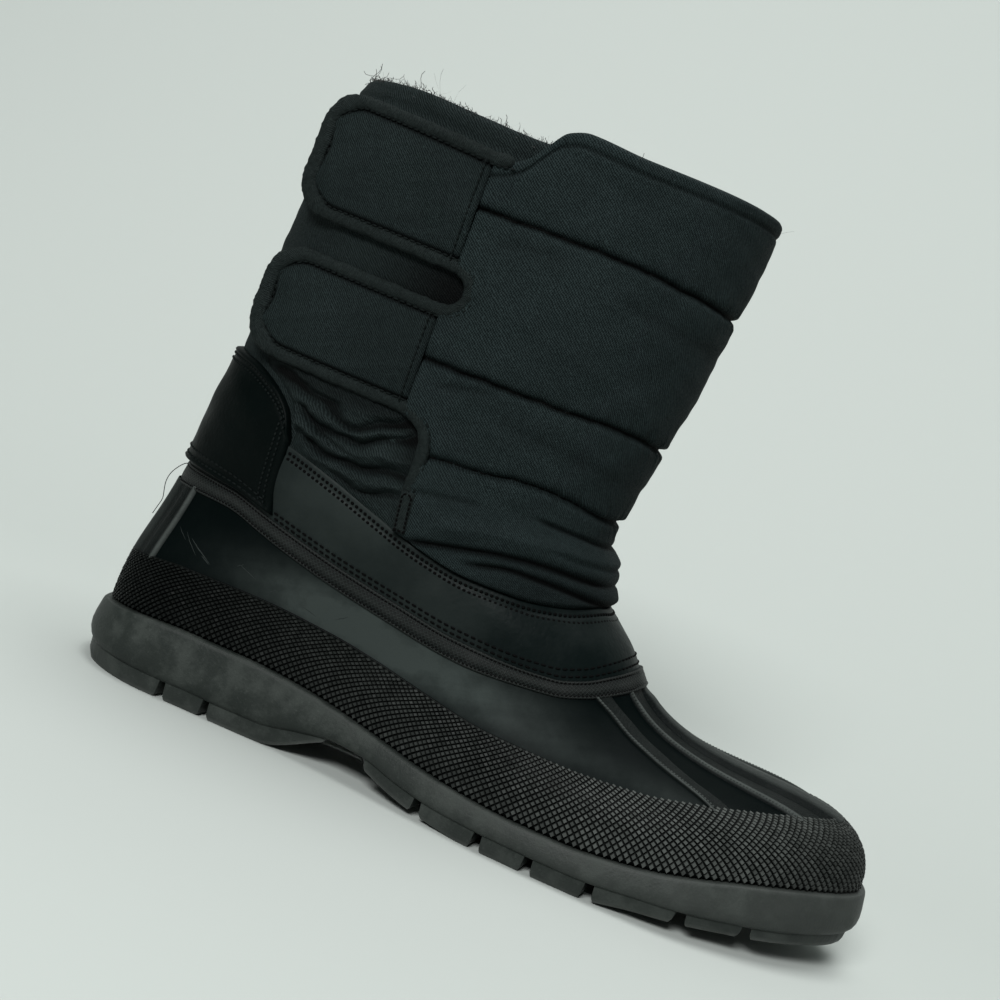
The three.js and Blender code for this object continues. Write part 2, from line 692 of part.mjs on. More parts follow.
// The heel patch wraps the back of the leg from one side to the other.
function heelPatch() {
  const rows = 6;
  const columns = 24;
  return facingOut(
    slab(rows, columns, (r, c, face) => {
      const reach = Math.acos(1 - 2 * shareAt(PATCH_REACH, PATCH_LEVEL));
      const angle = mix(-reach, reach, c);
      const side = angle < 0 ? "outer" : "inner";
      const share = (1 - Math.cos(angle)) / 2;
      const at = legPoint(share, side, PATCH_LEVEL).x + LENGTH / 2;
      const low = shellTop(at) + 2 * GAP;
      const z = mix(low, patchTop(at), r);
      return legPoint(share, side, z, face ? GAP + PATCH_THICK : -EMBED);
    }),
  );
}

// ---- the boot ----
const boot = new THREE.Group();
function addPiece(name, geometry, finish) {
  const material = new THREE.MeshStandardMaterial({ ...COLOURS[finish], metalness: 0 });
  const piece = new THREE.Mesh(geometry, material);
  piece.name = name;
  boot.add(piece);
}
addPiece("outsole", outsole(), "outsole");
addPiece("insole", insole(), "pile");
addPiece("shell", shell(), "shell");
addPiece("gaiter", gaiter(), "leather");
addPiece("shaft", shaft(), "nylon");
const underOverlays = legForm(GAP);
const trimmed = (slabGeometry) => geometryFrom(solidOf(slabGeometry).subtract(underOverlays));
addPiece("front_panel", trimmed(frontPanel()), "nylon");
for (const row of STRAPS) addPiece(row.name, trimmed(strap(row)), "nylon");
addPiece("heel_patch", trimmed(heelPatch()), "leather");

export default boot;
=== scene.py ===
"""The finish of a winter boot for the right foot: rubber sole and shell, leather gaiter, padded nylon leg.

Sizes are in millimetres until a piece is made. "at" is the distance from the back of the heel, y runs to
the inner side of the foot and z up from the floor. An angle of 0 is the back of the boot, half a turn is
its front, and the outer side comes between them.
"""

import math

import bpy
import numpy as np
from mathutils import Matrix, Vector


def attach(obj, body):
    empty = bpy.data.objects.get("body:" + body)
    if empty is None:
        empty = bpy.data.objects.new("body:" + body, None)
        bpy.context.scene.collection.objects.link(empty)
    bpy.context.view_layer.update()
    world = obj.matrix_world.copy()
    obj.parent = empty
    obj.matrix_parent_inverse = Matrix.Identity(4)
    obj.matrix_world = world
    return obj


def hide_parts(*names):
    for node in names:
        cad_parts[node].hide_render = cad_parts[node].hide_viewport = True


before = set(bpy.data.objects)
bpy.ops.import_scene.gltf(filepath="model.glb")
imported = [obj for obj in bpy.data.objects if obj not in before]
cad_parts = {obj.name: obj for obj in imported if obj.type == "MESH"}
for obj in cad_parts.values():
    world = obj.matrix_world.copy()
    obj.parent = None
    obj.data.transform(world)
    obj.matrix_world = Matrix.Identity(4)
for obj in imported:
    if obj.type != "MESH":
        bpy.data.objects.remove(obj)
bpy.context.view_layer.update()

MM = 0.001
LENGTH = 304.0
GAP = 0.3
TURN = 2 * math.pi
CLOTH_UNIT = 0.01  # a cloth map counts in tenths of a metre


# ---------------------------------------------------------------- tables of the boot's form
def table(columns, *rows):
    """Rows of sizes as one array per named column."""
    return {name: np.array([row[i] for row in rows], float) for i, name in enumerate(columns.split())}


SOLE_WIDTH = table(
    "at outer inner",
    (0, 36.5, 35), (45, 38.5, 36.5), (85, 38.8, 34), (115, 41.5, 34.5), (148, 48, 43),
    (180, 53, 51), (208, 54.2, 54.2), (235, 53, 54.2), (265, 47.5, 50.5), (304, 38, 44),
)
SOLE_TOP = table(
    "at z",
    (0, 21.5), (20, 24.4), (45, 26.4), (70, 26.3), (96, 24.4), (124, 20.3), (145, 17), (162, 15.2),
    (180, 14.4), (200, 14.5), (225, 16.8), (243, 20.2), (261, 24.2), (280, 27.4), (296, 29.3), (304, 30),
)
SOLE_ROOT = table(
    "at z",
    (0, 9), (12, 6.6), (83, 6.2), (100, 9.8), (112, 12), (124, 11.6), (140, 8.4), (160, 6.2),
    (205, 5.8), (230, 7.6), (256, 9.8), (282, 12.6), (304, 16),
)
HEEL_FOOT = table("at z", (0, 4.5), (5, 1.4), (12, 0), (84, 0), (110, 10.8))
FOREFOOT_FOOT = table(
    "at z",
    (124, 8.4), (137, 4.2), (150, 1.8), (160, 0.5), (167, 0), (208, 0), (230, 3), (256, 5.8),
    (282, 8.6), (296, 10.6), (304, 12.6),
)
EDGE_GAPS = table(
    "at wide", (45, 3.8), (63, 3.8), (149, 4.2), (173, 4.2), (192, 4.2), (214, 4.4), (245, 4.8), (267, 4.2)
)
FOXING_TOP = table(
    "at z",
    (0, 42), (8, 43), (38, 47.6), (68, 48.2), (97, 46.7), (116, 44.4), (135, 41.2), (163, 37.7),
    (191, 37.2), (217, 38.8), (235, 41.8), (254, 45.4), (274, 48.6), (291, 49.6),
)
SHELL_TOP = table(
    "at z",
    (14, 81.2), (43, 80.2), (59, 77), (76, 73.4), (93, 70), (117, 66), (140, 62.6), (163, 61.4),
    (176, 61.9), (186, 64.6), (193, 68.2), (199, 71.6),
)
GAITER_TOP = table(
    "at z",
    (16, 106.5), (40, 105.6), (61, 102.6), (80, 97.9), (99, 91.8), (117, 86.2), (136, 82.8),
    (154, 82.4), (168, 84), (180, 87.6),
)
LEG = table(
    "z back front outer inner power",
    (56, 9.5, 214, 40.5, 37.5, 2.5), (62, 11, 209, 39.8, 37, 2.5), (66, 12, 205, 39.4, 37, 2.45),
    (71, 13, 200, 39.2, 37.2, 2.4), (76, 14, 194.5, 39.2, 37.6, 2.35), (82, 15, 187, 39.6, 38.4, 2.3),
    (87, 15.6, 182.2, 40.4, 39.4, 2.3), (92, 16.2, 179.4, 41, 40.4, 2.3), (100, 17, 176.4, 41.8, 41.4, 2.3),
    (112, 18, 171, 42, 41.8, 2.3), (124, 19, 172.5, 42.4, 42.2, 2.3), (148, 19.6, 176.5, 43.6, 43.4, 2.25),
    (173, 20, 180.5, 44.6, 44.6, 2.2), (200, 21.6, 184, 45.4, 45.4, 2.15), (238, 25, 186.5, 46.2, 46.2, 2.1),
)
COLLAR = table("at z", (24, 237.6), (55, 236), (85, 233), (107, 231.6), (140, 232.4), (187, 234.4))
PANEL_EDGE = table(
    "z at",
    (84, 107.5), (92, 106), (103, 104.8), (110, 105), (118, 105), (124, 103.6), (128, 99.5), (129.6, 94.8),
    (166, 94.8), (168.4, 98), (171, 100.6), (174.5, 101.8), (178, 100.4), (180, 97.6), (181.8, 94.8),
    (219, 94.8), (240, 94.8),
)
PANEL_TOP = table(
    "at z",
    (94, 219.2), (99, 220.4), (106, 224.4), (111, 231), (116, 237), (123, 239), (144, 237.8), (188, 238.8),
)
PATCH_TOP = table("at z", (19, 128.6), (32, 126.6), (44, 122.2), (52, 117.6), (57, 112.6), (60, 106))
BAND_LOW = table(
    "turn t",
    (0, 0.885), (25, 0.905), (42, 0.915), (53, 0.895), (64, 0.879), (73, 0.874), (83, 0.876),
    (94, 0.904), (108, 0.925), (119, 0.935), (140, 0.94), (180, 0.945),
)
PATCH_REACH = 60.0  # how far forward the heel patch comes
PANEL_INNER_END = 104.0  # where the front panel ends on the inner side
STRAP_ROOT = 95.6  # where the straps are sewn to the front panel
STAND_OFF = 52.0  # from here back a strap is too stiff to follow the leg
STIFFNESS = 0.96
TIP_TAPE = 2.4  # the tape covers this much more of a strap round its tip
STRAPS = {
    "strap_upper": dict(low=180.4, high=222.2, rise=2.6, tip=29.0, corner=14.0, lift=1.2, flare=3.4),
    "strap_lower": dict(low=129.6, high=168.0, rise=1.4, tip=29.0, corner=14.0, lift=1.6, flare=1.0),
}
HEEL_ROUND = (36.0, 2.1)
TOE_ROUND = (70.0, 2.3)
SHELL_INSET = 5.0
LEG_PIVOT = 120.0
THROAT = 199.0
TREAD_INSET = 2.6
STRAP_THICK = 3.6
PATCH_THICK = 1.5
SHELL_WALL = 3.2
LEG_RADIUS = 62.0  # an even radius, for laying the weave round the leg
TUCK = -0.8  # the foot of a turned-down edge, just under the skin


# ---------------------------------------------------------------- curves through the tables
def smooth(rows, column, key="at"):
    """A smooth curve through one column of a table, with no overshoot between its rows."""
    x, y = rows[key], rows[column]
    slope = np.diff(y) / np.diff(x)
    tangent = np.concatenate([slope[:1], np.zeros(len(x) - 2), slope[-1:]])
    before, after = slope[:-1], slope[1:]
    agree = before * after > 0
    tangent[1:-1] = np.where(agree, 2 * before * after / np.where(agree, before + after, 1), 0)

    def curve(value):
        value = np.clip(value, x[0], x[-1])
        i = np.clip(np.searchsorted(x, value, side="right") - 1, 0, len(x) - 2)
        h = x[i + 1] - x[i]
        t = (value - x[i]) / h
        rise = (y[i + 1] - y[i]) * t * t * (3 - 2 * t)
        return y[i] + rise + h * t * (1 - t) * (tangent[i] * (1 - t) - tangent[i + 1] * t)

    return curve


def mix(a, b, t):
    return a + (b - a) * t


def step(low, high, value):
    """0 below low, 1 above high, with a soft ramp between."""
    t = np.clip((value - low) / (high - low), 0, 1)
    return t * t * (3 - 2 * t)


def hump(value, width):
    """1 at a value of 0, fading to nothing about two widths away."""
    return np.exp(-((value / width) ** 2))


def rolled(distance, radius):
    """The height of a rounded edge: 0 at the edge, 1 from radius inland."""
    return np.sqrt(1 - (1 - np.clip(distance / radius, 0, 1)) ** 2)


def unit(vectors):
    return vectors / (np.linalg.norm(vectors, axis=-1, keepdims=True) + 1e-12)


def around(count):
    """Angles evenly spaced round the boot."""
    return np.arange(count) * TURN / count


def run_of(path):
    """The distance along a path at each of its points."""
    return np.concatenate([[0], np.cumsum(np.linalg.norm(np.diff(path, axis=0), axis=-1))])


def bordered(*grids):
    """Grids with their outer rows and columns repeated once."""
    return [np.pad(grid, 1, mode="edge") for grid in grids]


def softened(path, times):
    """A path with its corners worn round."""
    for _ in range(times):
        path[1:-1] = (path[:-2] + 2 * path[1:-1] + path[2:]) / 4
    return path


def rounding(share, power):
    """The half width of a rounded outline, at a share of the way from its middle to its end."""
    return (1 - np.clip(share, 0, 1) ** power) ** (1 / power)


def ripple(value, seed, waves, longest, fade=0.7):
    """A smooth wandering line between about -1 and 1, the same each time."""
    rng = np.random.default_rng(seed)
    total = np.zeros_like(np.asarray(value, float))
    for k in range(waves):
        total += fade**k * np.sin(TURN * value / (longest / 1.7**k) + rng.uniform(0, TURN))
    return total / sum(fade**k for k in range(waves))


sole_width = {-1: smooth(SOLE_WIDTH, "outer"), 1: smooth(SOLE_WIDTH, "inner")}
sole_top = smooth(SOLE_TOP, "z")
sole_root = smooth(SOLE_ROOT, "z")
foxing_top = smooth(FOXING_TOP, "z")
shell_top = smooth(SHELL_TOP, "z")
gaiter_top = smooth(GAITER_TOP, "z")
collar_top = smooth(COLLAR, "z")
panel_edge = smooth(PANEL_EDGE, "at", "z")
panel_top = smooth(PANEL_TOP, "z")
patch_top = smooth(PATCH_TOP, "z")
band_low_share = smooth(BAND_LOW, "t", "turn")
leg = {name: smooth(LEG, name, "z") for name in ("back", "front", "outer", "inner", "power")}


# ---------------------------------------------------------------- the surfaces that pieces lie on
def outward(angle):
    """-1 on the outer side of the foot, 1 on the inner side."""
    return np.where(np.sin(angle) >= 0, -1.0, 1.0)


def at_of(points):
    return points[..., 0] + LENGTH / 2


def sole_half(side, at, inset):
    """Half the sole's width on one side, with its outline drawn in by inset."""
    stretched = (LENGTH / 2) * (1 + (at / (LENGTH / 2) - 1) / (1 - 2 * inset / LENGTH))
    heel = rounding(1 - stretched / HEEL_ROUND[0], HEEL_ROUND[1])
    toe = rounding(1 - (LENGTH - stretched) / TOE_ROUND[0], TOE_ROUND[1])
    wide = np.where(side < 0, sole_width[-1](stretched), sole_width[1](stretched))
    return np.maximum(0, (wide - inset) * heel * toe)


def sole_point(angle, inset, height):
    """A point on the sole's outline, drawn in by inset, at the height that height(at) gives."""
    side = outward(angle)
    at = mix(inset, LENGTH - inset, (1 - np.cos(angle)) / 2)
    return np.stack([at - LENGTH / 2, side * sole_half(side, at, inset), height(at) + 0 * at], -1)


def leg_point(angle, z):
    """A point on the leg's skin."""
    angle, z = np.broadcast_arrays(np.asarray(angle, float), np.asarray(z, float))
    back, front, power = leg["back"](z), leg["front"](z), leg["power"](z)
    along = -np.cos(angle)
    side = outward(angle)
    across = np.where(side < 0, leg["outer"](z), leg["inner"](z))
    x = (back + front) / 2 + along * (front - back) / 2 - LENGTH / 2
    return np.stack([x, side * across * rounding(np.abs(along), power), z], -1)


def leg_angle(at, z, side=-1):
    """The angle of a spot on the leg from its distance from the heel."""
    share = np.clip((at - leg["back"](z)) / (leg["front"](z) - leg["back"](z)), 0, 1)
    angle = np.arccos(1 - 2 * share)
    return angle if side < 0 else TURN - angle


def leg_line(angle, line):
    """The height at which a dividing line crosses the leg at an angle."""
    z = line(np.full_like(np.asarray(angle, float), 100.0))
    for _ in range(12):
        z = line(at_of(leg_point(angle, z)))
    return z


def throat_angle(angle):
    """Where a spot on the sole's outline comes out on the narrower leg."""
    at = (1 - np.cos(angle)) / 2 * LENGTH
    squeeze = (LENGTH - LEG_PIVOT) / (THROAT - LEG_PIVOT)
    t = np.clip((at - LEG_PIVOT) / (LENGTH - LEG_PIVOT), 0, 1)
    crowded = LEG_PIVOT + (THROAT - LEG_PIVOT) * squeeze * t / (1 + (squeeze - 1) * t)
    share = np.where(at < LEG_PIVOT, at, crowded) / THROAT
    turned = np.arccos(np.clip(1 - 2 * share, -1, 1))
    return np.where(np.sin(angle) >= 0, turned, TURN - turned)


# The shell's side is a curve with two handles. Each pair of shares is for the heel, then the toe.
LOW_HANDLE_UP = (0.45, 0.95)
HIGH_HANDLE_OUT = (0.4, 0.25)
HIGH_HANDLE_DOWN = (0.5, 0.89)


def shell_point(angle, t):
    """A point on the shell: t runs from the sole's edge, 0, to the rim, 1."""
    angle, t = np.broadcast_arrays(np.mod(angle, TURN), np.asarray(t, float))
    foot = sole_point(angle, SHELL_INSET, lambda at: sole_top(at) + GAP)
    rim_angle = throat_angle(angle)
    rim = leg_point(rim_angle, leg_line(rim_angle, shell_top))
    rise = rim[..., 2] - foot[..., 2]
    run = foot - rim
    run[..., 2] = 0
    toeward = np.clip((np.linalg.norm(run, axis=-1) - 12) / 80, 0, 1)
    low = foot.copy()
    low[..., 2] += mix(*LOW_HANDLE_UP, toeward) * rise
    high = rim + run * mix(*HIGH_HANDLE_OUT, toeward)[..., None]
    high[..., 2] -= mix(*HIGH_HANDLE_DOWN, toeward) * rise
    t = t[..., None]
    return (1 - t) ** 3 * foot + 3 * t * (1 - t) ** 2 * low + 3 * t * t * (1 - t) * high + t**3 * rim


def lifted(surface, a, b, out, step_a, step_b):
    """Points of surface(a, b) moved out along its normals, and the normals."""
    a, b = np.broadcast_arrays(np.asarray(a, float), np.asarray(b, float))
    along = surface(a + step_a, b) - surface(a - step_a, b)
    up = surface(a, b + step_b) - surface(a, b - step_b)
    normal = unit(np.cross(along, up))
    return surface(a, b) + normal * np.asarray(out, float)[..., None], normal


def off_leg(angle, z, out):
    """Points at a distance from the leg's skin, and the skin's normals."""
    return lifted(leg_point, angle, z, out, 0.004, 0.3)


def off_shell(angle, t, out):
    return lifted(shell_point, angle, t, out, 0.004, 0.006)


def on_leg(angle, z, out=0.0):
    return off_leg(angle, z, out)[0]


def on_shell(angle, t, out=0.0):
    return off_shell(angle, t, out)[0]


def shell_share(angle, line):
    """How far up the shell a dividing line lies."""
    low = np.zeros_like(angle)
    high = np.ones_like(angle)
    for _ in range(16):
        t = (low + high) / 2
        p = shell_point(angle, t)
        below = p[..., 2] < line(at_of(p))
        low = np.where(below, t, low)
        high = np.where(below, high, t)
    return low


# ---------------------------------------------------------------- meshes
class Sewing:
    """Gathers points and faces, then makes one object of them."""

    def __init__(self):
        self.points, self.faces, self.uvs, self.masks = [], [], [], []
        self.count = 0

    def sheet(self, points, ring=False, loop=False, mask=None, flip=False, cloth=None):
        """A grid of points, [row, column]. A ring closes across the columns, a loop across the rows.
        cloth is how far each point lies along and up the cloth, where the grid's own spacing isn't even.
        """
        rows, columns = points.shape[:2]
        across = np.linalg.norm(np.diff(points, axis=1, append=points[:, :1]), axis=-1)
        up = np.linalg.norm(np.diff(points, axis=0, append=points[:1]), axis=-1)
        u = np.concatenate([[0], np.cumsum(across.mean(0))])
        v = np.concatenate([[0], np.cumsum(up.mean(1))])
        r = np.arange(rows if loop else rows - 1)
        c = np.arange(columns if ring else columns - 1)
        r, c = (x.ravel() for x in np.meshgrid(r, c, indexing="ij"))
        r2, c2 = (r + 1) % rows, (c + 1) % columns
        order = [(r, c), (r, c2), (r2, c2), (r2, c)]
        corners = [(u[c], v[r]), (u[c + 1], v[r]), (u[c + 1], v[r + 1]), (u[c], v[r + 1])]
        if cloth is not None:
            along, up = cloth
            corners = [(along[r, c], up[r, c]), (along[r, c + 1], up[r, c + 1])]
            corners += [(along[r2, c + 1], up[r2, c + 1]), (along[r2, c], up[r2, c])]
        if flip:
            order, corners = order[::-1], corners[::-1]
        faces = np.stack([a * columns + b for a, b in order], -1) + self.count
        uvs = np.stack([np.stack(k, -1) for k in corners], 1) * CLOTH_UNIT
        self._take(points.reshape(-1, 3), faces, uvs, None if mask is None else np.ravel(mask))
        return self

    def solid(self, points, faces, mask=None):
        """Loose points and faces of one size."""
        faces = np.asarray(faces)
        points = np.asarray(points, float).reshape(-1, 3)
        uvs = points[faces][..., :2] * CLOTH_UNIT
        self._take(points, faces + self.count, uvs, mask)
        return self

    def _take(self, points, faces, uvs, mask):
        self.points.append(points)
        self.faces.append(faces)
        self.uvs.append(uvs)
        self.masks.append(np.zeros(len(points)) if mask is None else np.broadcast_to(mask, len(points)))
        self.count += len(points)

    def make(self, name, material, slot, replaces, sharp=None):
        """One object of it all, in metres. sharp is the angle past which an edge stays crisp."""
        mesh = bpy.data.meshes.new(name)
        points = np.concatenate(self.points) * MM
        sizes = np.concatenate([np.full(len(f), f.shape[1]) for f in self.faces])
        corners = np.concatenate([f.ravel() for f in self.faces])
        mesh.vertices.add(len(points))
        mesh.vertices.foreach_set("co", points.ravel())
        mesh.loops.add(len(corners))
        mesh.loops.foreach_set("vertex_index", corners.astype(np.int32))
        mesh.polygons.add(len(sizes))
        starts = np.concatenate([[0], np.cumsum(sizes)[:-1]])
        mesh.polygons.foreach_set("loop_start", starts.astype(np.int32))
        mesh.polygons.foreach_set("use_smooth", np.ones(len(sizes), bool))
        uv_map = mesh.uv_layers.new(name="cloth")
        uv_map.data.foreach_set("uv", np.concatenate([u.reshape(-1, 2) for u in self.uvs]).ravel())
        # The mask carries real wear on rubber, and painted shade and painted light where a piece puts them.
        wear_and_painted_light = mesh.attributes.new("wear_and_painted_light", "FLOAT", "POINT")
        wear_and_painted_light.data.foreach_set("value", np.concatenate(self.masks).astype(np.float32))
        mesh.update(calc_edges=True)
        mesh.validate()
        if sharp is not None:
            mesh.set_sharp_from_angle(angle=math.radians(sharp))
        mesh.materials.append(material)
        piece = bpy.data.objects.new(name, mesh)
        bpy.context.scene.collection.objects.link(piece)
        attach(piece, "root")
        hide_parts(*replaces)
        return piece


def repeated(faces, copies, size):
    """The same faces for each of many like shapes, each of size points."""
    return (np.array(faces)[None] + np.arange(copies)[:, None, None] * size).reshape(-1, 4)


def swept(path, normals, half_width, half_height, sides):
    """A tape or thread along a path, as a grid of points: [side, along]."""
    tangent = unit(np.gradient(path, axis=0))
    side = unit(np.cross(tangent, normals))
    lift = np.cross(side, tangent)
    c, s = np.cos(around(sides)), np.sin(around(sides))
    width = np.asarray(half_width) * np.ones(len(path))
    height = np.asarray(half_height) * np.ones(len(path))
    offset = side[None] * (c[:, None] * width)[..., None] + lift[None] * (s[:, None] * height)[..., None]
    return path[None] + offset


def resampled(path, spacing, *also):
    """Points at an even spacing along a path, and other arrays carried with them."""
    length = run_of(path)
    count = max(2, int(round(length[-1] / spacing)) + 1)
    places = np.linspace(0, length[-1], count)
    out = []
    for rows in (path, *also):
        out.append(np.stack([np.interp(places, length, column) for column in rows.T], -1))
    return out if also else out[0]


# ---------------------------------------------------------------- shader nodes
class Nodes:
    """Short ways to add and join shader nodes in one tree."""

    def __init__(self, tree):
        self.tree = tree

    def add(self, kind, inputs=None, **settings):
        node = self.tree.nodes.new(kind)
        for key, value in settings.items():
            setattr(node, key, value)
        for key, value in (inputs or {}).items():
            self.feed(node.inputs[key], value)
        return node

    def feed(self, socket, value):
        """Joins a socket to another's output, or sets it."""
        if isinstance(value, bpy.types.NodeSocket):
            self.tree.links.new(value, socket)
        else:
            socket.default_value = value

    def sum(self, operation, a, b=0.0, c=0.0):
        return self.add("ShaderNodeMath", {0: a, 1: b, 2: c}, operation=operation).outputs[0]

    def mixed(self, factor, a, b):
        return self.add("ShaderNodeMix", {0: factor, 6: a, 7: b}, data_type="RGBA").outputs[2]

    def noise(self, scale, detail=3.0, rough=0.55):
        inputs = {"Vector": self.place(), "Scale": scale, "Detail": detail, "Roughness": rough}
        return self.add("ShaderNodeTexNoise", inputs).outputs[0]

    def place(self):
        return self.add("ShaderNodeTexCoord").outputs["Object"]

    def ramp(self, value, low, high, start=0.0, end=1.0):
        inputs = {0: value, 1: low, 2: high, 3: start, 4: end}
        return self.add("ShaderNodeMapRange", inputs, interpolation_type="SMOOTHSTEP").outputs[0]

    def wave(self, value, per_unit):
        """Even waves from 0 to 1."""
        turned = self.sum("SINE", self.sum("MULTIPLY", self.sum("MULTIPLY", value, per_unit), TURN))
        return self.sum("MULTIPLY_ADD", turned, 0.5, 0.5)


def node_group(name, build, **inputs):
    """A shader group; build takes its nodes and input sockets and gives the output values by name."""
    group = bpy.data.node_groups.new(name, "ShaderNodeTree")
    for label, value in inputs.items():
        kind = "NodeSocketColor" if isinstance(value, tuple) else "NodeSocketFloat"
        group.interface.new_socket(name=label, in_out="INPUT", socket_type=kind).default_value = value
    nodes = Nodes(group)
    made = build(nodes, nodes.add("NodeGroupInput").outputs)
    for label in made:
        kind = "NodeSocketColor" if label == "Colour" else "NodeSocketFloat"
        group.interface.new_socket(name=label, in_out="OUTPUT", socket_type=kind)
    leave = nodes.add("NodeGroupOutput")
    for label, value in made.items():
        nodes.feed(leave.inputs[label], value)
    return group


def tone(*levels):
    """A near-grey colour: one level, or three."""
    r, g, b = levels * 3 if len(levels) == 1 else levels
    return (r, g, b, 1)


def wear_and_painted_light_mask(n):
    """The share of wear, painted shade and painted light that each piece carries, from 0 to 1."""
    return n.add("ShaderNodeAttribute", attribute_name="wear_and_painted_light").outputs["Fac"]


def cloth_place(n):
    """How far a spot lies along the cloth and up it, in tenths of a metre."""
    place = n.add("ShaderNodeSeparateXYZ", {0: n.add("ShaderNodeUVMap", uv_map="cloth").outputs[0]})
    return place.outputs[0], place.outputs[1]


def build_weave(n, given):
    """Twill: slanting ribs with finer cross threads, soft clouds, and the odd pale fleck."""
    along, up = cloth_place(n)
    wobble = n.sum("MULTIPLY", n.noise(330.0, 3.0), 0.018)
    rib = n.wave(n.sum("ADD", n.sum("ADD", along, up), wobble), given["Threads"])
    slant = n.sum("SUBTRACT", along, n.sum("MULTIPLY", up, 0.35))
    cross = n.wave(slant, n.sum("MULTIPLY", given["Threads"], 1.7))
    weave = n.sum("MULTIPLY_ADD", cross, 0.3, n.sum("MULTIPLY", rib, 0.5))
    speck = n.ramp(n.noise(1250.0, 2.0, 0.6), 0.32, 0.68)
    height = n.sum("MULTIPLY_ADD", speck, 0.28, weave)
    cloud = n.ramp(n.noise(30.0, 7.0, 0.66), 0.3, 0.7, 0.7, 1.0)
    fleck = n.ramp(n.noise(760.0, 1.0, 0.5), 0.74, 0.79, 0.0, 0.9)
    shade = n.sum("MULTIPLY_ADD", n.ramp(height, 0.15, 1.0), cloud, fleck)
    colour = n.mixed(n.sum("MINIMUM", shade, 1.6), given["Dark"], given["Light"])
    return {
        # The piece's mask darkens the cloth towards SEAM_SHADOW: painted shade in seams and creases, behind
        # the straps and beside the tape.
        "Colour": n.mixed(n.sum("MINIMUM", wear_and_painted_light_mask(n), 1.0), colour, SEAM_SHADOW),
        "Roughness": n.ramp(height, 0.0, 1.0, 0.95, 0.62),
        "Height": height,
    }


def build_grain(n, given):
    """Leather: rounded cells with a fine tooth, darker with painted shade where the piece's mask says so."""
    cells = n.add("ShaderNodeTexVoronoi", {"Vector": n.place(), "Scale": given["Scale"]}, feature="SMOOTH_F1")
    fine = n.noise(1500.0, 2.0)
    cloud = n.sum("SUBTRACT", n.ramp(n.noise(28.0, 5.0, 0.6), 0.3, 0.72, 0.45, 1.0), wear_and_painted_light_mask(n))
    return {
        "Colour": n.mixed(n.sum("MAXIMUM", cloud, 0.0), given["Dark"], given["Light"]),
        "Roughness": n.ramp(n.noise(46.0, 5.0, 0.65), 0.25, 0.75, 0.36, 0.56),
        "Height": n.sum("MULTIPLY_ADD", fine, 0.4, n.sum("MULTIPLY", cells.outputs[0], 0.8)),
    }


def build_dust(n, given):
    """A film of dust over a colour, in clouds and specks."""
    clouds = n.ramp(n.noise(75.0, 8.0, 0.7), 0.42, 0.68)
    specks = n.ramp(n.noise(900.0, 3.0, 0.7), 0.56, 0.72)
    film = n.sum("MULTIPLY_ADD", clouds, 0.7, n.sum("MULTIPLY", specks, 0.4))
    amount = n.sum("MULTIPLY", film, given["Amount"])
    return {
        "Colour": n.mixed(n.sum("MINIMUM", amount, 1.0), given["Colour"], given["Dust"]),
        "Roughness": n.ramp(amount, 0.0, 0.8, 0.46, 0.82),
    }


def build_pale_spots(n, given):
    """Rubber turned paler, patchily, where the piece's mask says so: rubbed wear, and painted light on some
    pieces.
    """
    patchy = n.ramp(n.noise(120.0, 5.0, 0.7), 0.3, 0.65, 0.7, 1.0)
    share = n.sum("MULTIPLY", n.sum("MULTIPLY", wear_and_painted_light_mask(n), patchy), given["Amount"])
    return {
        "Colour": n.mixed(n.sum("MINIMUM", share, 1.0), given["Colour"], given["Rubbed"]),
        "Height": n.noise(1100.0, 3.0, 0.6),
    }


GREY = tone(0.05)
SEAM_SHADOW = tone(0.0006, 0.0009, 0.0009)
weave_group = node_group("twill_weave", build_weave, Threads=110.0, Dark=GREY, Light=GREY)
grain_group = node_group("leather_grain", build_grain, Scale=700.0, Dark=GREY, Light=GREY)
dust_group = node_group("dust_film", build_dust, Amount=1.0, Colour=GREY, Dust=GREY)
pale_spots_group = node_group("rubbed_and_lit_spots", build_pale_spots, Amount=1.0, Colour=GREY, Rubbed=GREY)


def new_material(name, shine, rough=0.6):
    made = bpy.data.materials.new(name)
    made.use_nodes = True
    skin = made.node_tree.nodes["Principled BSDF"]
    skin.inputs["Specular IOR Level"].default_value = shine
    skin.inputs["Roughness"].default_value = rough
    return made, Nodes(made.node_tree), skin


def use(nodes, group, **inputs):
    node = nodes.add("ShaderNodeGroup", node_tree=group)
    for label, value in inputs.items():
        nodes.feed(node.inputs[label], value)
    return node.outputs


def bump(nodes, skin, height, depth):
    node = nodes.add("ShaderNodeBump", {"Distance": depth * MM, "Height": height})
    nodes.feed(skin.inputs["Normal"], node.outputs[0])


def cloth_material(name, dark, light, threads=96.0, depth=0.34):
    made, n, skin = new_material(name, 0.06)
    weave = use(n, weave_group, Threads=threads, Dark=dark, Light=light)
    n.feed(skin.inputs["Base Color"], weave["Colour"])
    n.feed(skin.inputs["Roughness"], weave["Roughness"])
    bump(n, skin, weave["Height"], depth)
    return made


def leather_material(name, dark, light, shine, dust, scale=700.0):
    made, n, skin = new_material(name, shine)
    grain = use(n, grain_group, Scale=scale, Dark=dark, Light=light)
    dusty = use(n, dust_group, Amount=dust, Colour=grain["Colour"], Dust=tone(0.028, 0.032, 0.031))
    n.feed(skin.inputs["Base Color"], dusty["Colour"])
    n.feed(skin.inputs["Roughness"], grain["Roughness"])
    bump(n, skin, grain["Height"], 0.10)
    return made


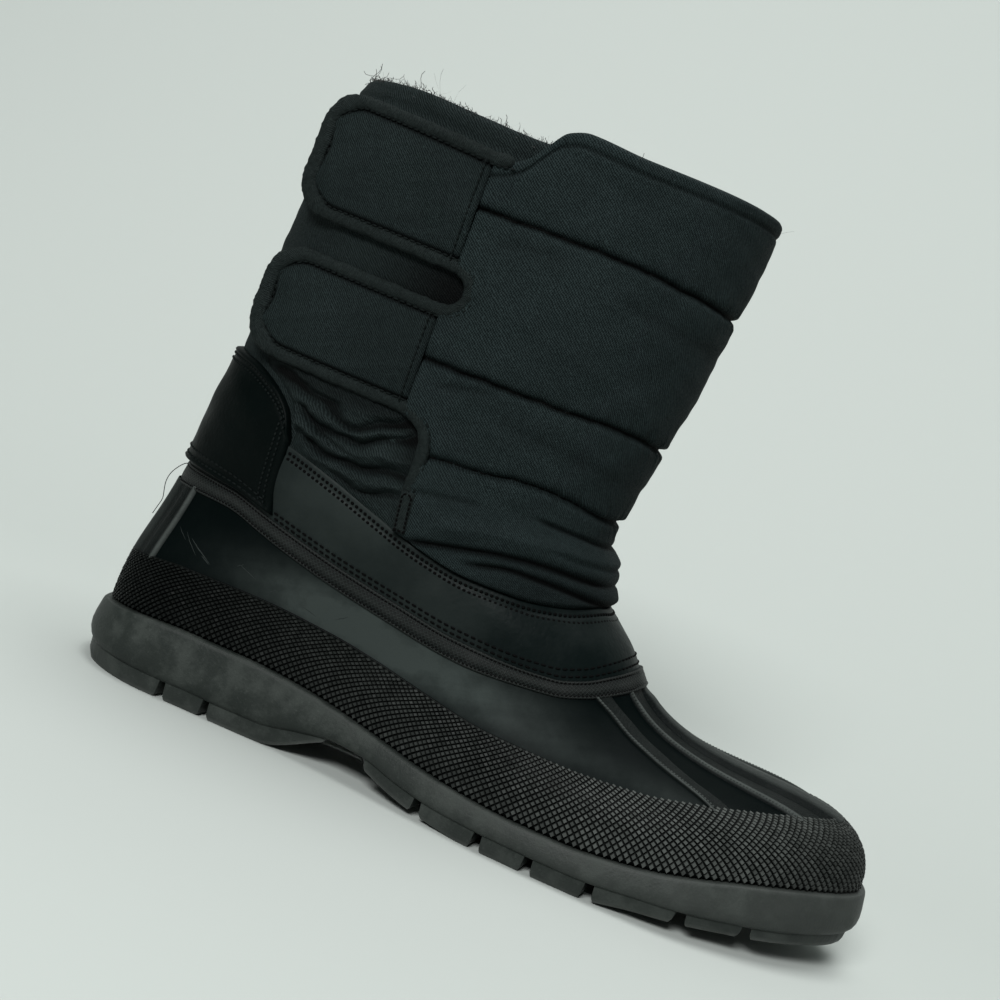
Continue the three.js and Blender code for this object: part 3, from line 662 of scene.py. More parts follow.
def coat_rubber(n, skin, base, dust, paler_colour, amount, wear_and_painted_light=1.0):
    """Colours rubber with its paler spots (rubbed wear, and painted light where a piece's mask puts it) and a
    film of dust, and gives its fine grain's height.
    """
    paler_mask = use(n, pale_spots_group, Amount=wear_and_painted_light, Colour=base, Rubbed=paler_colour)
    dusty = use(n, dust_group, Amount=amount, Colour=paler_mask["Colour"], Dust=dust)
    n.feed(skin.inputs["Base Color"], dusty["Colour"])
    n.feed(skin.inputs["Roughness"], dusty["Roughness"])
    return paler_mask["Height"]


def rubber_material(name, base, dust, paler_colour, amount, shine, depth, wear_and_painted_light=1.0):
    made, n, skin = new_material(name, shine)
    bump(n, skin, coat_rubber(n, skin, base, dust, paler_colour, amount, wear_and_painted_light), depth)
    return made


def net_rubber_material():
    """Rubber with a fine diamond net pressed into it."""
    made, n, skin = new_material("net_rubber", 0.06)
    along, up = cloth_place(n)
    one = n.wave(n.sum("ADD", along, up), 62.0)
    two = n.wave(n.sum("SUBTRACT", along, up), 62.0)
    net = n.sum("MAXIMUM", n.ramp(one, 0.6, 1.0), n.ramp(two, 0.6, 1.0))
    base = n.mixed(net, tone(0.0018, 0.0024, 0.0023), tone(0.0105, 0.0135, 0.0128))
    coat_rubber(n, skin, base, tone(0.035), tone(0.034, 0.038, 0.036), 0.2)
    bump(n, skin, net, 0.25)
    return made


def pile_material(name, colour, light):
    made, n, skin = new_material(name, 0.05, rough=0.9)
    n.feed(skin.inputs["Base Color"], n.mixed(n.ramp(n.noise(420.0, 5.0), 0.3, 0.7), colour, light))
    bump(n, skin, n.noise(900.0, 4.0, 0.7), 0.8)
    return made


def thread_material(name, colour, light):
    made, n, skin = new_material(name, 0.04, rough=0.7)
    n.feed(skin.inputs["Base Color"], n.mixed(n.noise(700.0), colour, light))
    return made


sole_rubber = rubber_material(
    "sole_rubber", tone(0.0145, 0.0180, 0.0162), tone(0.046, 0.0525, 0.048), tone(0.07, 0.075, 0.071),
    amount=0.75, shine=0.1, depth=0.14, wear_and_painted_light=0.8,
)
shell_rubber = rubber_material(
    "shell_rubber", tone(0.0008, 0.0020, 0.0020), tone(0.014, 0.018, 0.017), tone(0.030, 0.037, 0.035),
    amount=0.05, shine=0.018, depth=0.05,
)
knurl_rubber = rubber_material(
    "knurl_rubber", tone(0.0014, 0.0020, 0.0019), tone(0.022, 0.025, 0.024), tone(0.056, 0.062, 0.058),
    amount=0.12, shine=0.05, depth=0.08,
)
band_rubber = rubber_material(
    "band_rubber", tone(0.0016, 0.0028, 0.0027), tone(0.022, 0.025, 0.024), tone(0.045, 0.052, 0.049),
    amount=0.2, shine=0.04, depth=0.3,
)
net_rubber = net_rubber_material()
gaiter_leather = leather_material(
    "gaiter_leather", tone(0.0022, 0.0044, 0.0043), tone(0.0150, 0.0195, 0.0185), 0.05, 0.04
)
patch_leather = leather_material(
    "patch_leather", tone(0.0004, 0.0012, 0.0011), tone(0.0012, 0.0026, 0.0024), 0.035, 0.015, 620.0
)
leg_nylon = cloth_material("leg_nylon", tone(0.0030, 0.0048, 0.0048), tone(0.0180, 0.0262, 0.0258))
panel_nylon = cloth_material("panel_nylon", tone(0.0036, 0.0060, 0.0061), tone(0.0182, 0.0280, 0.0284))
strap_nylon = cloth_material("strap_nylon", tone(0.0030, 0.0050, 0.0050), tone(0.0150, 0.0230, 0.0228))
tape = cloth_material("binding_tape", tone(0.0040, 0.0062, 0.0060), tone(0.0235, 0.0315, 0.0305), 130.0, 0.5)
hook_tape = pile_material("hook_and_loop", tone(0.001), tone(0.006))
dark_pile = pile_material("dark_pile", tone(0.010), tone(0.045, 0.046, 0.044))
pale_fibre = thread_material("pale_fibre", tone(0.012, 0.013, 0.013), tone(0.12, 0.12, 0.115))
grey_thread = thread_material("grey_thread", tone(0.0015, 0.0024, 0.0023), tone(0.0080, 0.0110, 0.0105))
scuffed_rubber = thread_material("scuffed_rubber", tone(0.008, 0.011, 0.0105), tone(0.032, 0.038, 0.036))
black_thread = thread_material("black_thread", tone(0.0004), tone(0.002))


# ---------------------------------------------------------------- small helpers for the pieces
def skirted(surface, a, b, out, foot):
    """A grid on a surface with its edges turned down to foot."""
    a, b, out = bordered(a, b, out)
    ring = np.ones_like(out, bool)
    ring[1:-1, 1:-1] = False
    return surface(a, b, np.where(ring, foot, out))


def edge_distance(points, joined=False):
    """How far each spot of a grid lies from its nearest edge; a joined grid's first column isn't an edge."""
    across = np.linalg.norm(np.diff(points, axis=1), axis=-1)
    up = np.linalg.norm(np.diff(points, axis=0), axis=-1)
    left = np.pad(np.cumsum(across, 1), ((0, 0), (1, 0)))
    low = np.pad(np.cumsum(up, 0), ((1, 0), (0, 0)))
    first = left + 1000 if joined else left
    return np.minimum.reduce([first, left[:, -1:] - left, low, low[-1:] - low])


def crease(at, z, rows):
    """How far soft troughs and ridges lower or raise the cloth."""
    total = np.zeros_like(at)
    for width, depth, *line in rows:
        spots = table("at z", *line)
        away = np.abs(z - smooth(spots, "z")(at)) / width
        start, end = spots["at"][0], spots["at"][-1]
        total -= depth * np.exp(-(away**1.5)) * step(start - 4, start + 5, at) * step(end + 4, end - 5, at)
    return total


# A thread gives its stitches' spacing, length, width and height.
HEM_THREAD = (1.95, 1.2, 1.15, 0.4)
WELT_THREAD = (2.6, 1.8, 0.75, 0.4)
PATCH_THREAD = (1.9, 1.2, 0.8, 0.4)
PATCH_FOOT_THREAD = (2.6, 1.8, 0.7, 0.35)
QUILT_THREAD = (3.0, 2.3, 0.9, 0.4)
TAB_THREAD = (1.7, 1.25, 0.8, 0.4)
STRAP_THREAD = (2.6, 1.9, 0.75, 0.5)
ROOT_THREAD = (2.3, 1.7, 0.6, 0.45)
BAND_DOT = (1.5, 1.0, 0.6, 0.2)
RIB_BEAD = (1.25, 0.85, 0.9, 0.3)
STITCH_RINGS = ((-0.5, 0.45), (-0.3, 1.0), (0.3, 1.0), (0.5, 0.45))  # place along it, girth
STITCH_SIDES = 5


def stitches(sewing, track, thread):
    """A row of stitches, like grains of rice, along a track of points and the surface's normals."""
    pitch, long, wide, high = thread
    path, normals = resampled(track[0], pitch, track[1])
    ahead = unit(np.gradient(path, axis=0))
    side = unit(np.cross(ahead, normals))
    turn = around(STITCH_SIDES)
    rings = []
    for place, girth in STITCH_RINGS:
        ring = path[:, None] + ahead[:, None] * place * long
        ring = ring + side[:, None] * (np.cos(turn) * wide / 2 * girth)[None, :, None]
        rings.append(ring + normals[:, None] * (np.sin(turn) * high * girth)[None, :, None])
    faces = []
    for low in range(0, STITCH_SIDES * 3, STITCH_SIDES):
        for k in range(STITCH_SIDES):
            a, b = low + k, low + (k + 1) % STITCH_SIDES
            faces.append((a, b, b + STITCH_SIDES, a + STITCH_SIDES))
    points = np.stack(rings, 1).reshape(-1, 3)
    sewing.solid(points, repeated(faces, len(path), STITCH_SIDES * 4))


def turned(angle):
    """Degrees from the back of the boot, on either side."""
    return np.degrees(np.arccos(np.clip(np.cos(angle), -1, 1)))


def band_low(angle):
    """The share up the shell at which the collar band starts."""
    return band_low_share(turned(angle))


# ---------------------------------------------------------------- the sole
# Up the sole's side: how far each level is drawn in, and its share of the height.
SOLE_PROFILE = (
    (3.0, 0.0), (1.6, 0.03), (0.75, 0.1), (0.2, 0.2), (0.0, 0.35), (0.25, 0.55), (0.8, 0.78), (1.1, 0.9),
    (1.35, 0.96), (1.9, 1.0), (2.6, 1.0),
)
CLOSING = (0.02, 0.5, 0.9)  # shares of the width at which rows close a flat face


def outsole_body():
    angle = around(640)
    rows = [sole_point(angle, SOLE_PROFILE[0][0], sole_root) * [1, share, 1] for share in CLOSING]
    for inset, height in SOLE_PROFILE:
        rows.append(sole_point(angle, inset, lambda at: mix(sole_root(at), sole_top(at), height)))
    rows += [sole_point(angle, SOLE_PROFILE[-1][0], sole_top) * [1, share, 1] for share in CLOSING[::-1]]
    points = np.array(rows)
    # Painted light: the sole is painted paler from the heel towards the toe, where more light falls on it.
    body = Sewing().sheet(points, ring=True, mask=0.36 * step(60, 290, at_of(points)))
    return body.make("outsole_body", sole_rubber, "outsole_rubber", ["outsole"])


# A tread block from root to face: how far each ring is grown and its height over the foot; None is the root.
BLOCK_SIDE = ((1.0, None), (0.4, 1.6), (0.0, 0.9), (-0.7, 0.0))
# Then over its face: each ring's share of the outline, and how deep the face is dished there.
BLOCK_FACE = ((0.72, 0.0), (0.62, 0.7), (0.3, 0.7), (0.01, 0.7))
BLOCK_WEAR = (0, 0.2, 0.6, 1, 0.9, 0.2, 0.1, 0.1)


def block(sewing, outline, foot, root):
    """One tread block from its outline in plan, chamfered at the foot and dished on its face."""
    outline = np.array(outline, float)
    closed = np.vstack([outline, outline[:1]])
    length = run_of(closed)
    places = np.linspace(0, length[-1], 49)[:-1]
    places = np.sort(np.concatenate([places, length[:-1] + 0.05, length[1:] - 0.05]) % length[-1])
    rim = np.stack([np.interp(places, length, closed[:, k]) for k in (0, 1)], -1)
    middle = rim.mean(0)
    size = np.linalg.norm(rim - middle, axis=-1, keepdims=True)
    rows = []
    for grow, drop in BLOCK_SIDE:
        spot = middle + (rim - middle) * (size + grow) / size
        z = root(spot[:, 0]) + 1.5 if drop is None else foot(spot[:, 0]) + drop
        rows.append(np.column_stack([spot[:, 0] - LENGTH / 2, spot[:, 1], z]))
    for share, dish in BLOCK_FACE:
        spot = middle + (rim - middle) * share
        rows.append(np.column_stack([spot[:, 0] - LENGTH / 2, spot[:, 1], foot(spot[:, 0]) + dish]))
    paler_mask = np.repeat(BLOCK_WEAR, len(rim))
    sewing.sheet(np.array(rows), ring=True, flip=outline_turn(rim) > 0, mask=paler_mask)


def outline_turn(outline):
    """Above 0 where an outline runs anticlockwise in plan."""
    x, y = outline[:, 0], outline[:, 1]
    return np.sum(x * np.roll(y, -1) - y * np.roll(x, -1))


# The heel's tread and the forefoot's: its foot, start, stop, and the middle blocks' pitch and first place.
TREADS = ((HEEL_FOOT, 3.2, 109.0, 23.0, 14.0), (FOREFOOT_FOOT, 126.0, 300.0, 24.0, 124.0))
INNER_LAG = 4.0  # the inner side's lugs lie this much further forward
GROOVE = 3.2


def edge_lugs(lugs, foot, start, stop):
    """The row of lugs along each edge of the sole."""
    inside = (EDGE_GAPS["at"] > start) & (EDGE_GAPS["at"] < stop)
    for side, shift in ((-1, 0.0), (1, INNER_LAG)):
        gaps, wide = EDGE_GAPS["at"][inside] + shift, EDGE_GAPS["wide"][inside]
        starts = np.concatenate([[start], gaps + wide / 2])
        ends = np.concatenate([gaps - wide / 2, [stop]])
        for low, high in zip(starts, ends):
            at = np.linspace(low, high, 14)
            outer = side * sole_half(side, at, TREAD_INSET)
            inner_at = np.minimum([high + 2.5, (low + high) / 2, low + 2.5], LENGTH - 14)
            inner = side * sole_half(side, inner_at, 4) * 0.5
            inner[1] -= side * 3
            outline = list(zip(at, outer)) + list(zip(inner_at, inner))
            block(lugs, outline, foot, sole_root)


def middle_lugs(lugs, foot, start, stop, pitch, at):
    """The arrow-shaped blocks down the middle of the sole."""
    long = pitch - GROOVE
    while at + pitch <= stop - 4:
        middle = at + pitch / 2
        a = -(sole_half(-1, middle, 0) * 0.5 - GROOVE)
        b = sole_half(1, middle, 0) * 0.5 - GROOVE
        spots = [(0, a * 0.72), (long * 0.55, a), (long, a * 0.6), (long + 2.4, (a + b) / 2)]
        spots += [(long, b * 0.6), (long * 0.55, b), (0, b * 0.72), (2.6, (a + b) / 2)]
        block(lugs, [(max(at + run, start), y) for run, y in spots], foot, sole_root)
        at += pitch


def outsole_lugs():
    lugs = Sewing()
    for feet, start, stop, pitch, first in TREADS:
        foot = smooth(feet, "z")
        edge_lugs(lugs, foot, start, stop)
        middle_lugs(lugs, foot, start, stop, pitch, first)
    return lugs.make("outsole_lugs", sole_rubber, "outsole_rubber", ["outsole"], sharp=40)


# ---------------------------------------------------------------- the rubber shell
# Where the shell is painted paler, greyed partly by wear and dust and partly by a painted sheen where it
# turns towards the light: the middle of each area, its reach along and up, and how strong it is.
SHELL_WEAR_AND_SHEEN = (
    (98, 54, 34, 10, 1.25), (138, 49, 36, 8, 1.0), (178, 42, 26, 5, 0.35), (225, 41, 22, 4, 0.3),
    (285, 48, 12, 6, 0.3),
)


def wear_and_sheen_areas(points, rows):
    """A mask of soft-edged, blotchy areas."""
    at, z = at_of(points), points[..., 2]
    total = np.zeros_like(at)
    for middle, height, reach, tall, amount in rows:
        total += amount * np.exp(-(((at - middle) / reach) ** 2) - ((z - height) / tall) ** 2)
    blotchy = 1 + 0.16 * ripple(at * 0.8 + z, 15, 5, 26) + 0.12 * ripple(at * 0.4 - z * 1.4, 16, 5, 12)
    return np.clip(total * blotchy, 0, 1.3)


def shell_skin():
    angle = around(580)
    outside = [on_shell(angle, t) for t in np.linspace(0, 1, 72)]
    inside = [on_shell(angle, t, -SHELL_WALL) for t in np.linspace(1, 0, 12)]
    inside[0][:, 2] = outside[-1][:, 2]
    for foot in (outside[0], inside[-1]):
        foot[:, 2] = sole_top(at_of(foot)) + GAP
    points = np.array(outside + inside)
    skin = Sewing().sheet(points, ring=True, loop=True, mask=wear_and_sheen_areas(points, SHELL_WEAR_AND_SHEEN))
    return skin.make("shell_skin", shell_rubber, "shell_rubber", ["shell"])


# Scratches on the shell: degrees round from the back and share up the shell at each end, then the width.
SCUFFS = (
    (34.4, 0.632, 42.4, 0.501, 0.20), (31.8, 0.662, 38.3, 0.514, 0.12), (28.5, 0.672, 33.2, 0.596, 0.10),
    (39.4, 0.536, 42.1, 0.496, 0.16), (48.0, 0.637, 52.1, 0.596, 0.13), (47.4, 0.612, 48.6, 0.659, 0.10),
    (55.0, 0.556, 57.1, 0.659, 0.12), (60.6, 0.614, 63.9, 0.591, 0.13), (66.5, 0.667, 68.0, 0.747, 0.12),
)


def scuffs():
    marks = Sewing()
    share = np.linspace(0, 1, 24)
    taper = np.sqrt(np.sin(math.pi * share)) + 0.02
    for turn, t, end_turn, end_t, wide in SCUFFS:
        angle = np.radians(mix(turn, end_turn, share)) + 0.002 * ripple(share * 20, 17, 3, 9)
        path, normals = off_shell(angle, mix(t, end_t, share), 0.02)
        marks.sheet(swept(path, normals, wide * taper, 0.05 * taper, 6), loop=True)
    return marks.make("shell_scuffs", scuffed_rubber, "shell_rubber", ["shell"])


def foxing_share(angle):
    """The share up the shell at which the textured foxing ends."""
    return shell_share(angle, foxing_top)


def foxing():
    """The smooth strip that the foxing's studs stand on."""
    angle = around(720)
    top = foxing_share(angle)
    profile = [(0.004, -0.3), (0.004, 0.35)] + [(share, 0.4) for share in np.linspace(0.04, 0.95, 14)]
    profile += [(0.975, 0.5), (0.99, 0.5), (1.004, 0.3), (1.008, -0.3)]
    rows = np.array([on_shell(angle, top * share, out) for share, out in profile])
    rows[0][:, 2] = np.maximum(rows[0][:, 2], sole_top(at_of(rows[0])) + GAP)
    return Sewing().sheet(rows, ring=True).make("foxing", knurl_rubber, "shell_rubber", ["shell"])


STUD_PITCH = 2.55
STUD_ROWS = 21
STUD_REACH = 1.2  # half a stud's length along the foxing


def foxing_studs():
    """Small rounded pads in slanting rows all round the foxing."""
    fine = np.linspace(0, TURN, 1441)
    top = foxing_share(fine)
    length = run_of(on_shell(fine, top / 2))
    count = int(length[-1] / STUD_PITCH)
    column, row = (k.ravel() for k in np.meshgrid(np.arange(count), np.arange(STUD_ROWS), indexing="ij"))
    rng = np.random.default_rng(5)
    spot = (column + 0.5 * (row % 2)) / count * length[-1]
    share = mix(0.015, 0.985, (row + 0.5) / STUD_ROWS)
    half_up = 0.97 * 0.93 / STUD_ROWS
    corners = []
    for size, out, uneven, swell in ((0.92, 0.3, 0, 1.0), (0.62, 1.1, 0.3, 1.25)):
        for da, ds in ((-1, 0), (0, -1), (1, 0), (0, 1)):
            angle = np.interp((spot + da * STUD_REACH * size) % length[-1], length, fine)
            height = out + (uneven * rng.random(len(spot)) if uneven else 0)
            t = np.interp(angle, fine, top) * (share + ds * half_up * size)
            corners.append(on_shell(angle, t, height * swell))
    points = np.stack(corners, 1)
    faces = [(4, 5, 6, 7)] + [(k, (k + 1) % 4, 4 + (k + 1) % 4, 4 + k) for k in range(4)]
    place = at_of(points.mean(1))
    # The studs' tops are painted paler: hardly at the heel, most on the forefoot, less again at the tip,
    # unevenly from stud to stud.
    strength = mix(0.06, 0.42, step(20, 150, place)) + 0.6 * step(160, 225, place)
    strength = (strength - 0.65 * step(255, 300, place)) * (0.75 + 0.5 * rng.random(len(spot)))
    paler_mask = (np.repeat([0, 1], 4)[None] * strength[:, None]).ravel()
    studs = Sewing().solid(points, repeated(faces, len(spot), 8), mask=paler_mask)
    return studs.make("foxing_studs", knurl_rubber, "shell_rubber", ["shell"], sharp=28)


# Across the collar band, from its foot to its top: the share of its width, and how far it stands out.
BAND_PROFILE = (
    (-0.03, -0.4), (0, 0.6), (0.05, 1.0), (0.12, 1.0), (0.16, 0.6), (0.2, 0.9), (0.5, 1.0), (0.8, 0.9),
    (0.84, 0.6), (0.88, 1.0), (0.95, 1.0), (1.0, 0.6), (1.0, -0.6),
)


def collar_band():
    angle = around(640)
    low = band_low(angle)
    over = 0.9 * step(152, 172, turned(angle))
    rows = [on_shell(angle, mix(low, 1.0, share), out + over * (out > 0)) for share, out in BAND_PROFILE]
    paler_mask = np.repeat([0.35 if out >= 1 else 0.0 for _, out in BAND_PROFILE], len(angle))
    band = Sewing().sheet(np.array(rows), ring=True, mask=paler_mask)
    return band.make("collar_band", net_rubber, "shell_rubber", ["shell"])


def band_dots():
    dots = Sewing()
    angle = np.linspace(0, TURN, 700)
    for share in (0.13, 0.87):
        stitches(dots, off_shell(angle, mix(band_low(angle), 1.0, share), 0.93), BAND_DOT)
    return dots.make("band_dots", black_thread, "shell_rubber", ["shell"])


def heel_strip():
    """The upright rib at the back, from the foxing up to the band."""
    angle, share = np.meshgrid(np.linspace(-0.47, 0.47, 90), np.linspace(0, 1, 40))
    t = mix(foxing_share(angle) - 0.02, band_low(angle) + 0.02, share)
    away = np.abs(angle)
    out = 1.5 * step(0.31, 0.20, away) + 0.35 * step(0.34, 0.35, away) + 0.7 * step(0.425, 0.435, away)
    out *= step(0.47, 0.455, away)
    out = np.where(away > 0.465, -0.3, out + 0.1)
    # The raised middle is rubbed a little paler; the ridge along each edge is painted pale as a painted
    # highlight.
    paler_mask = 0.3 * step(0.3, 0.25, away) + step(0.435, 0.445, away) * step(0.47, 0.46, away)
    strip = Sewing().sheet(on_shell(angle, t, out), mask=paler_mask)
    return strip.make("heel_strip", band_rubber, "shell_rubber", ["shell"])


# The two edges of the rib on each side of the vamp, in degrees round from the back.
RIB_OUTER = table(
    "t turn",
    (0.2, 133.5), (0.28, 133.4), (0.48, 133.1), (0.67, 132.8), (0.80, 130.5), (0.86, 128.4), (0.96, 119.5),
)
RIB_INNER = table(
    "t turn",
    (0.2, 138), (0.28, 138), (0.48, 138), (0.60, 139.2), (0.70, 140.6), (0.82, 139.6), (0.96, 130.5),
)
# How far the stripe's outer edge and its roll lie from the middle of the toe, up the shell.
STRIPE_EDGE = table(
    "t y",
    (0.15, 25.2), (0.3, 24.8), (0.4, 24.2), (0.5, 22.8), (0.6, 20.6), (0.7, 18.2), (0.8, 16.8), (0.96, 16),
)
ROLL_EDGE = table(
    "t y", (0.15, 12), (0.3, 11.8), (0.4, 11.4), (0.5, 10.8), (0.6, 9.6), (0.7, 8), (0.8, 6.6), (0.96, 5.5)
)
# Across the stripe: 0 to 1 is its outer border, 1 to 2 the roll down its middle, 2 to 3 its inner border.
STRIPE_PROFILE = table(
    "share out",
    (0, -0.3), (0.02, 0.6), (0.10, 1.25), (0.22, 1.25), (0.30, 0.45), (0.38, 0.35), (0.86, 0.35), (0.95, 0.1),
    (1.0, 0.0), (1.06, 0.5), (1.16, 1.4), (1.3, 2.0), (1.5, 2.3),
)


def vamp_grid(lines, shares, rows=90):
    """Angles and heights up the vamp across two or more lines, from the foxing to the band."""
    share = np.linspace(0, 1, rows)[:, None]
    across = np.asarray(shares)[None, :]
    t = mix(0.25, 0.94, share) + 0 * across  # a first guess, put right below
    for _ in range(4):
        turns = [line(t) for line in lines]
        turn = turns[0]
        for i in range(len(lines) - 1):
            turn = turn + (turns[i + 1] - turns[i]) * np.clip(across - i, 0, 1)
        angle = np.radians(turn)
        t = mix(foxing_share(angle) - 0.03, band_low(angle) + 0.004, share)
    return angle, t


def toe_line(rows, side):
    """The turn, at each height up the shell, of a line at a set distance from the toe's middle."""
    t = np.linspace(0.15, 0.97, 60)
    goal = side * smooth(rows, "y", "t")(t)
    low, high = np.full_like(t, TURN / 4), np.full_like(t, TURN * 3 / 4)
    for _ in range(24):
        middle = (low + high) / 2
        short = shell_point(middle, t)[..., 1] < goal
        low, high = np.where(short, middle, low), np.where(short, high, middle)
    turn = np.degrees(low)
    return lambda value: np.interp(value, t, turn)


def stripe_lines():
    """The stripe's edges and its roll's, from the outer side of the foot to the inner."""
    lines = ((STRIPE_EDGE, -1), (ROLL_EDGE, -1), (ROLL_EDGE, 1), (STRIPE_EDGE, 1))
    return [toe_line(rows, side) for rows, side in lines]


# Across a rib, from its outer edge to its inner: the share of its width, and how far it stands out.
RIB_PROFILE = table(
    "share out",
    (0, -0.3), (0.01, 0.6), (0.05, 1.2), (0.13, 1.2), (0.17, 0.75), (0.22, 0.5), (0.4, 0.6), (0.6, 0.6),
    (0.8, 0.55), (0.93, 0.5), (0.99, 0.2), (1, -0.3),
)


def vamp_ribs():
    """The flat rib on each side of the vamp, and the stripe down its middle."""
    ribs = Sewing()
    lines = smooth(RIB_OUTER, "turn", "t"), smooth(RIB_INNER, "turn", "t")
    heights = RIB_PROFILE["out"]
    angle, t = vamp_grid(lines, RIB_PROFILE["share"])
    # Painted highlight: each rib's raised outer border is painted pale; the rest of the rib is rubbed only a
    # little.
    paler_mask = np.tile(np.where(heights > 1, 1.0, 0.1), len(t))
    ribs.sheet(on_shell(angle, t, heights[None, :]), mask=paler_mask)
    ribs.sheet(on_shell(TURN - angle, t, heights[None, :]), mask=paler_mask, flip=True)
    half, out = STRIPE_PROFILE["share"], STRIPE_PROFILE["out"]
    shares = np.concatenate([half, 3 - half[-2::-1]])
    heights = np.concatenate([out, out[-2::-1]])
    angle, t = vamp_grid(stripe_lines(), shares, 120)
    # Painted highlight: the stripe's raised borders are painted pale, and the roll down its middle paler too.
    bead = (heights > 1) & ((shares < 0.5) | (shares > 2.5))
    roll = (shares > 1.2) & (shares < 1.8)
    paler_mask = np.tile(np.where(bead, 1.0, np.where(roll, 0.45, 0.0)), len(t))
    fade = mix(0.45, 1.0, step(0, 0.05, band_low(angle) - t))
    ribs.sheet(on_shell(angle, t, heights[None, :] * fade), mask=paler_mask)
    return ribs.make("vamp_ribs", band_rubber, "shell_rubber", ["shell"])


def rib_beads():
    """Rows of small beads along the ribs' outer borders and the stripe's."""
    beads = Sewing()
    t = np.linspace(0.22, 0.95, 260)
    rib = np.radians(smooth(RIB_OUTER, "turn", "t")(t)) + 0.014
    outer, *_, inner = (np.radians(line(t)) for line in stripe_lines())
    for angle in (rib, TURN - rib, outer + 0.03, inner - 0.03):
        keep = (t > foxing_share(angle)) & (t < band_low(angle))
        stitches(beads, off_shell(angle[keep], t[keep], 1.2), RIB_BEAD)
    # The beads are painted pale as a painted highlight.
    beads.masks = [np.full(beads.count, 0.9)]
    return beads.make("rib_beads", band_rubber, "shell_rubber", ["shell"])


# ---------------------------------------------------------------- the leather
GAITER_HEM = ((0.35, 0.75), (0.5, 0.3), (0.3, -0.6), (-2.0, -1.2))  # lift and stand-off over the rolled top


def gaiter():
    angle = around(560)
    low, high = leg_line(angle, shell_top), leg_line(angle, gaiter_top)
    at = at_of(leg_point(angle, high))
    front = step(120, 175, at)
    rows = [on_leg(angle, low - 3.0, TUCK)]
    for v in np.linspace(0, 1, 40):
        z = mix(low - 1.0, high, v)
        dents = 0.5 * ripple(at + 0.8 * z, 3, 3, 70) * math.sin(math.pi * v) * mix(0.5, 1.2, front)
        out = 0.1 + 1.5 * math.sin(math.pi * min(1, v * 1.02)) ** 0.7 + 0.9 * v + dents
        rows.append(on_leg(angle, z, out - 0.35 * hump(v - 0.9, 0.03)))
    rows += [on_leg(angle, high + lift, out) for lift, out in GAITER_HEM]
    points = np.array(rows)
    # Painted shade: the leather is painted darker towards the front and the back, which leaves a paler sheen
    # across the middle.
    shade = 0.65 * step(95, 165, at_of(points)) + 0.5 * step(60, 45, at_of(points))
    skin = Sewing().sheet(points, ring=True, mask=shade)
    return skin.make("gaiter_skin", gaiter_leather, "gaiter_leather", ["gaiter"])


def gaiter_stitches():
    rows = Sewing()
    reach = leg_angle(PATCH_REACH + 1.5, 100.0)
    angle = np.linspace(reach, TURN - reach, 500)
    high, low = leg_line(angle, gaiter_top), leg_line(angle, shell_top)
    for drop in (1.7, 3.7):
        stitches(rows, off_leg(angle, high - drop, 1.2 + 0.1 * drop), HEM_THREAD)
    for rise in (1.1, 3.1):
        stitches(rows, off_leg(angle, low + rise, 0.75 + 0.25 * rise), WELT_THREAD)
    return rows.make("gaiter_stitches", black_thread, "gaiter_leather", ["gaiter"])


# A thread end that hangs off the back: distance from the heel, sideways place and height.
LOOSE_THREAD = (
    (19, -9, 80.5), (13.9, -8, 79.8), (11.2, -7.5, 77.1), (9.0, -7, 73.9), (8.0, -6.5, 70.3), (8.4, -6, 66.5),
    (9.3, -6, 63.5), (8.3, -6, 60.3), (7.3, -6, 56.6),
)


def patch_grid(rows, columns):
    reach = leg_angle(PATCH_REACH, 100.0)
    angle, share = np.meshgrid(np.linspace(-reach, reach, columns), np.linspace(0, 1, rows))
    at = at_of(leg_point(angle, 100.0))
    return angle, mix(shell_top(at) + 1.0, patch_top(at), share)


def patch_shape():
    """The heel patch's grid and how far each spot stands off the leg."""
    angle, z = patch_grid(70, 150)
    flat = on_leg(angle, z)
    edge = edge_distance(flat)
    piping = 0.5 * hump(edge - 1.2, 0.6) - 0.3 * hump(edge - 3.6, 1.0)
    dents = 0.35 * ripple(at_of(flat) * 0.8 + z, 8, 3, 46)
    over = step(16, 0, z - gaiter_top(at_of(flat)))
    return angle, z, GAP + PATCH_THICK * rolled(edge, 1.1) + piping + dents * step(0, 12, edge) + over + 0.4


def heel_patch():
    angle, z, out = patch_shape()
    piece = Sewing().sheet(skirted(on_leg, angle, z, out, TUCK))
    return piece.make("heel_patch_skin", patch_leather, "patch_leather", ["heel_patch"])


def patch_stitches():
    """Two rows of thread up each side and over the top, two along the foot, and one thread end come loose."""
    rows = Sewing()
    angle, z, out = patch_shape()

    def sew(spots, rise, thread):
        stitches(rows, off_leg(angle[spots], z[spots], out[spots] + rise), thread)

    for column, row in ((3, -5), (5, -8)):
        for side in (column, -column - 1):
            sew((slice(6, row), side), 0.15, PATCH_THREAD)
        sew((row, slice(column, -column)), 0.15, PATCH_THREAD)
    for row in (4, 8):
        sew((row, slice(4, -4)), 0.1, PATCH_FOOT_THREAD)
    loose = np.array([(at - LENGTH / 2, y, z) for at, y, z in LOOSE_THREAD])
    path = softened(resampled(loose, 0.5), 12)
    rows.sheet(swept(path, np.tile([0.0, 1.0, 0.0], (len(path), 1)), 0.16, 0.16, 6), loop=True)
    return rows.make("patch_stitches", grey_thread, "patch_leather", ["heel_patch"])


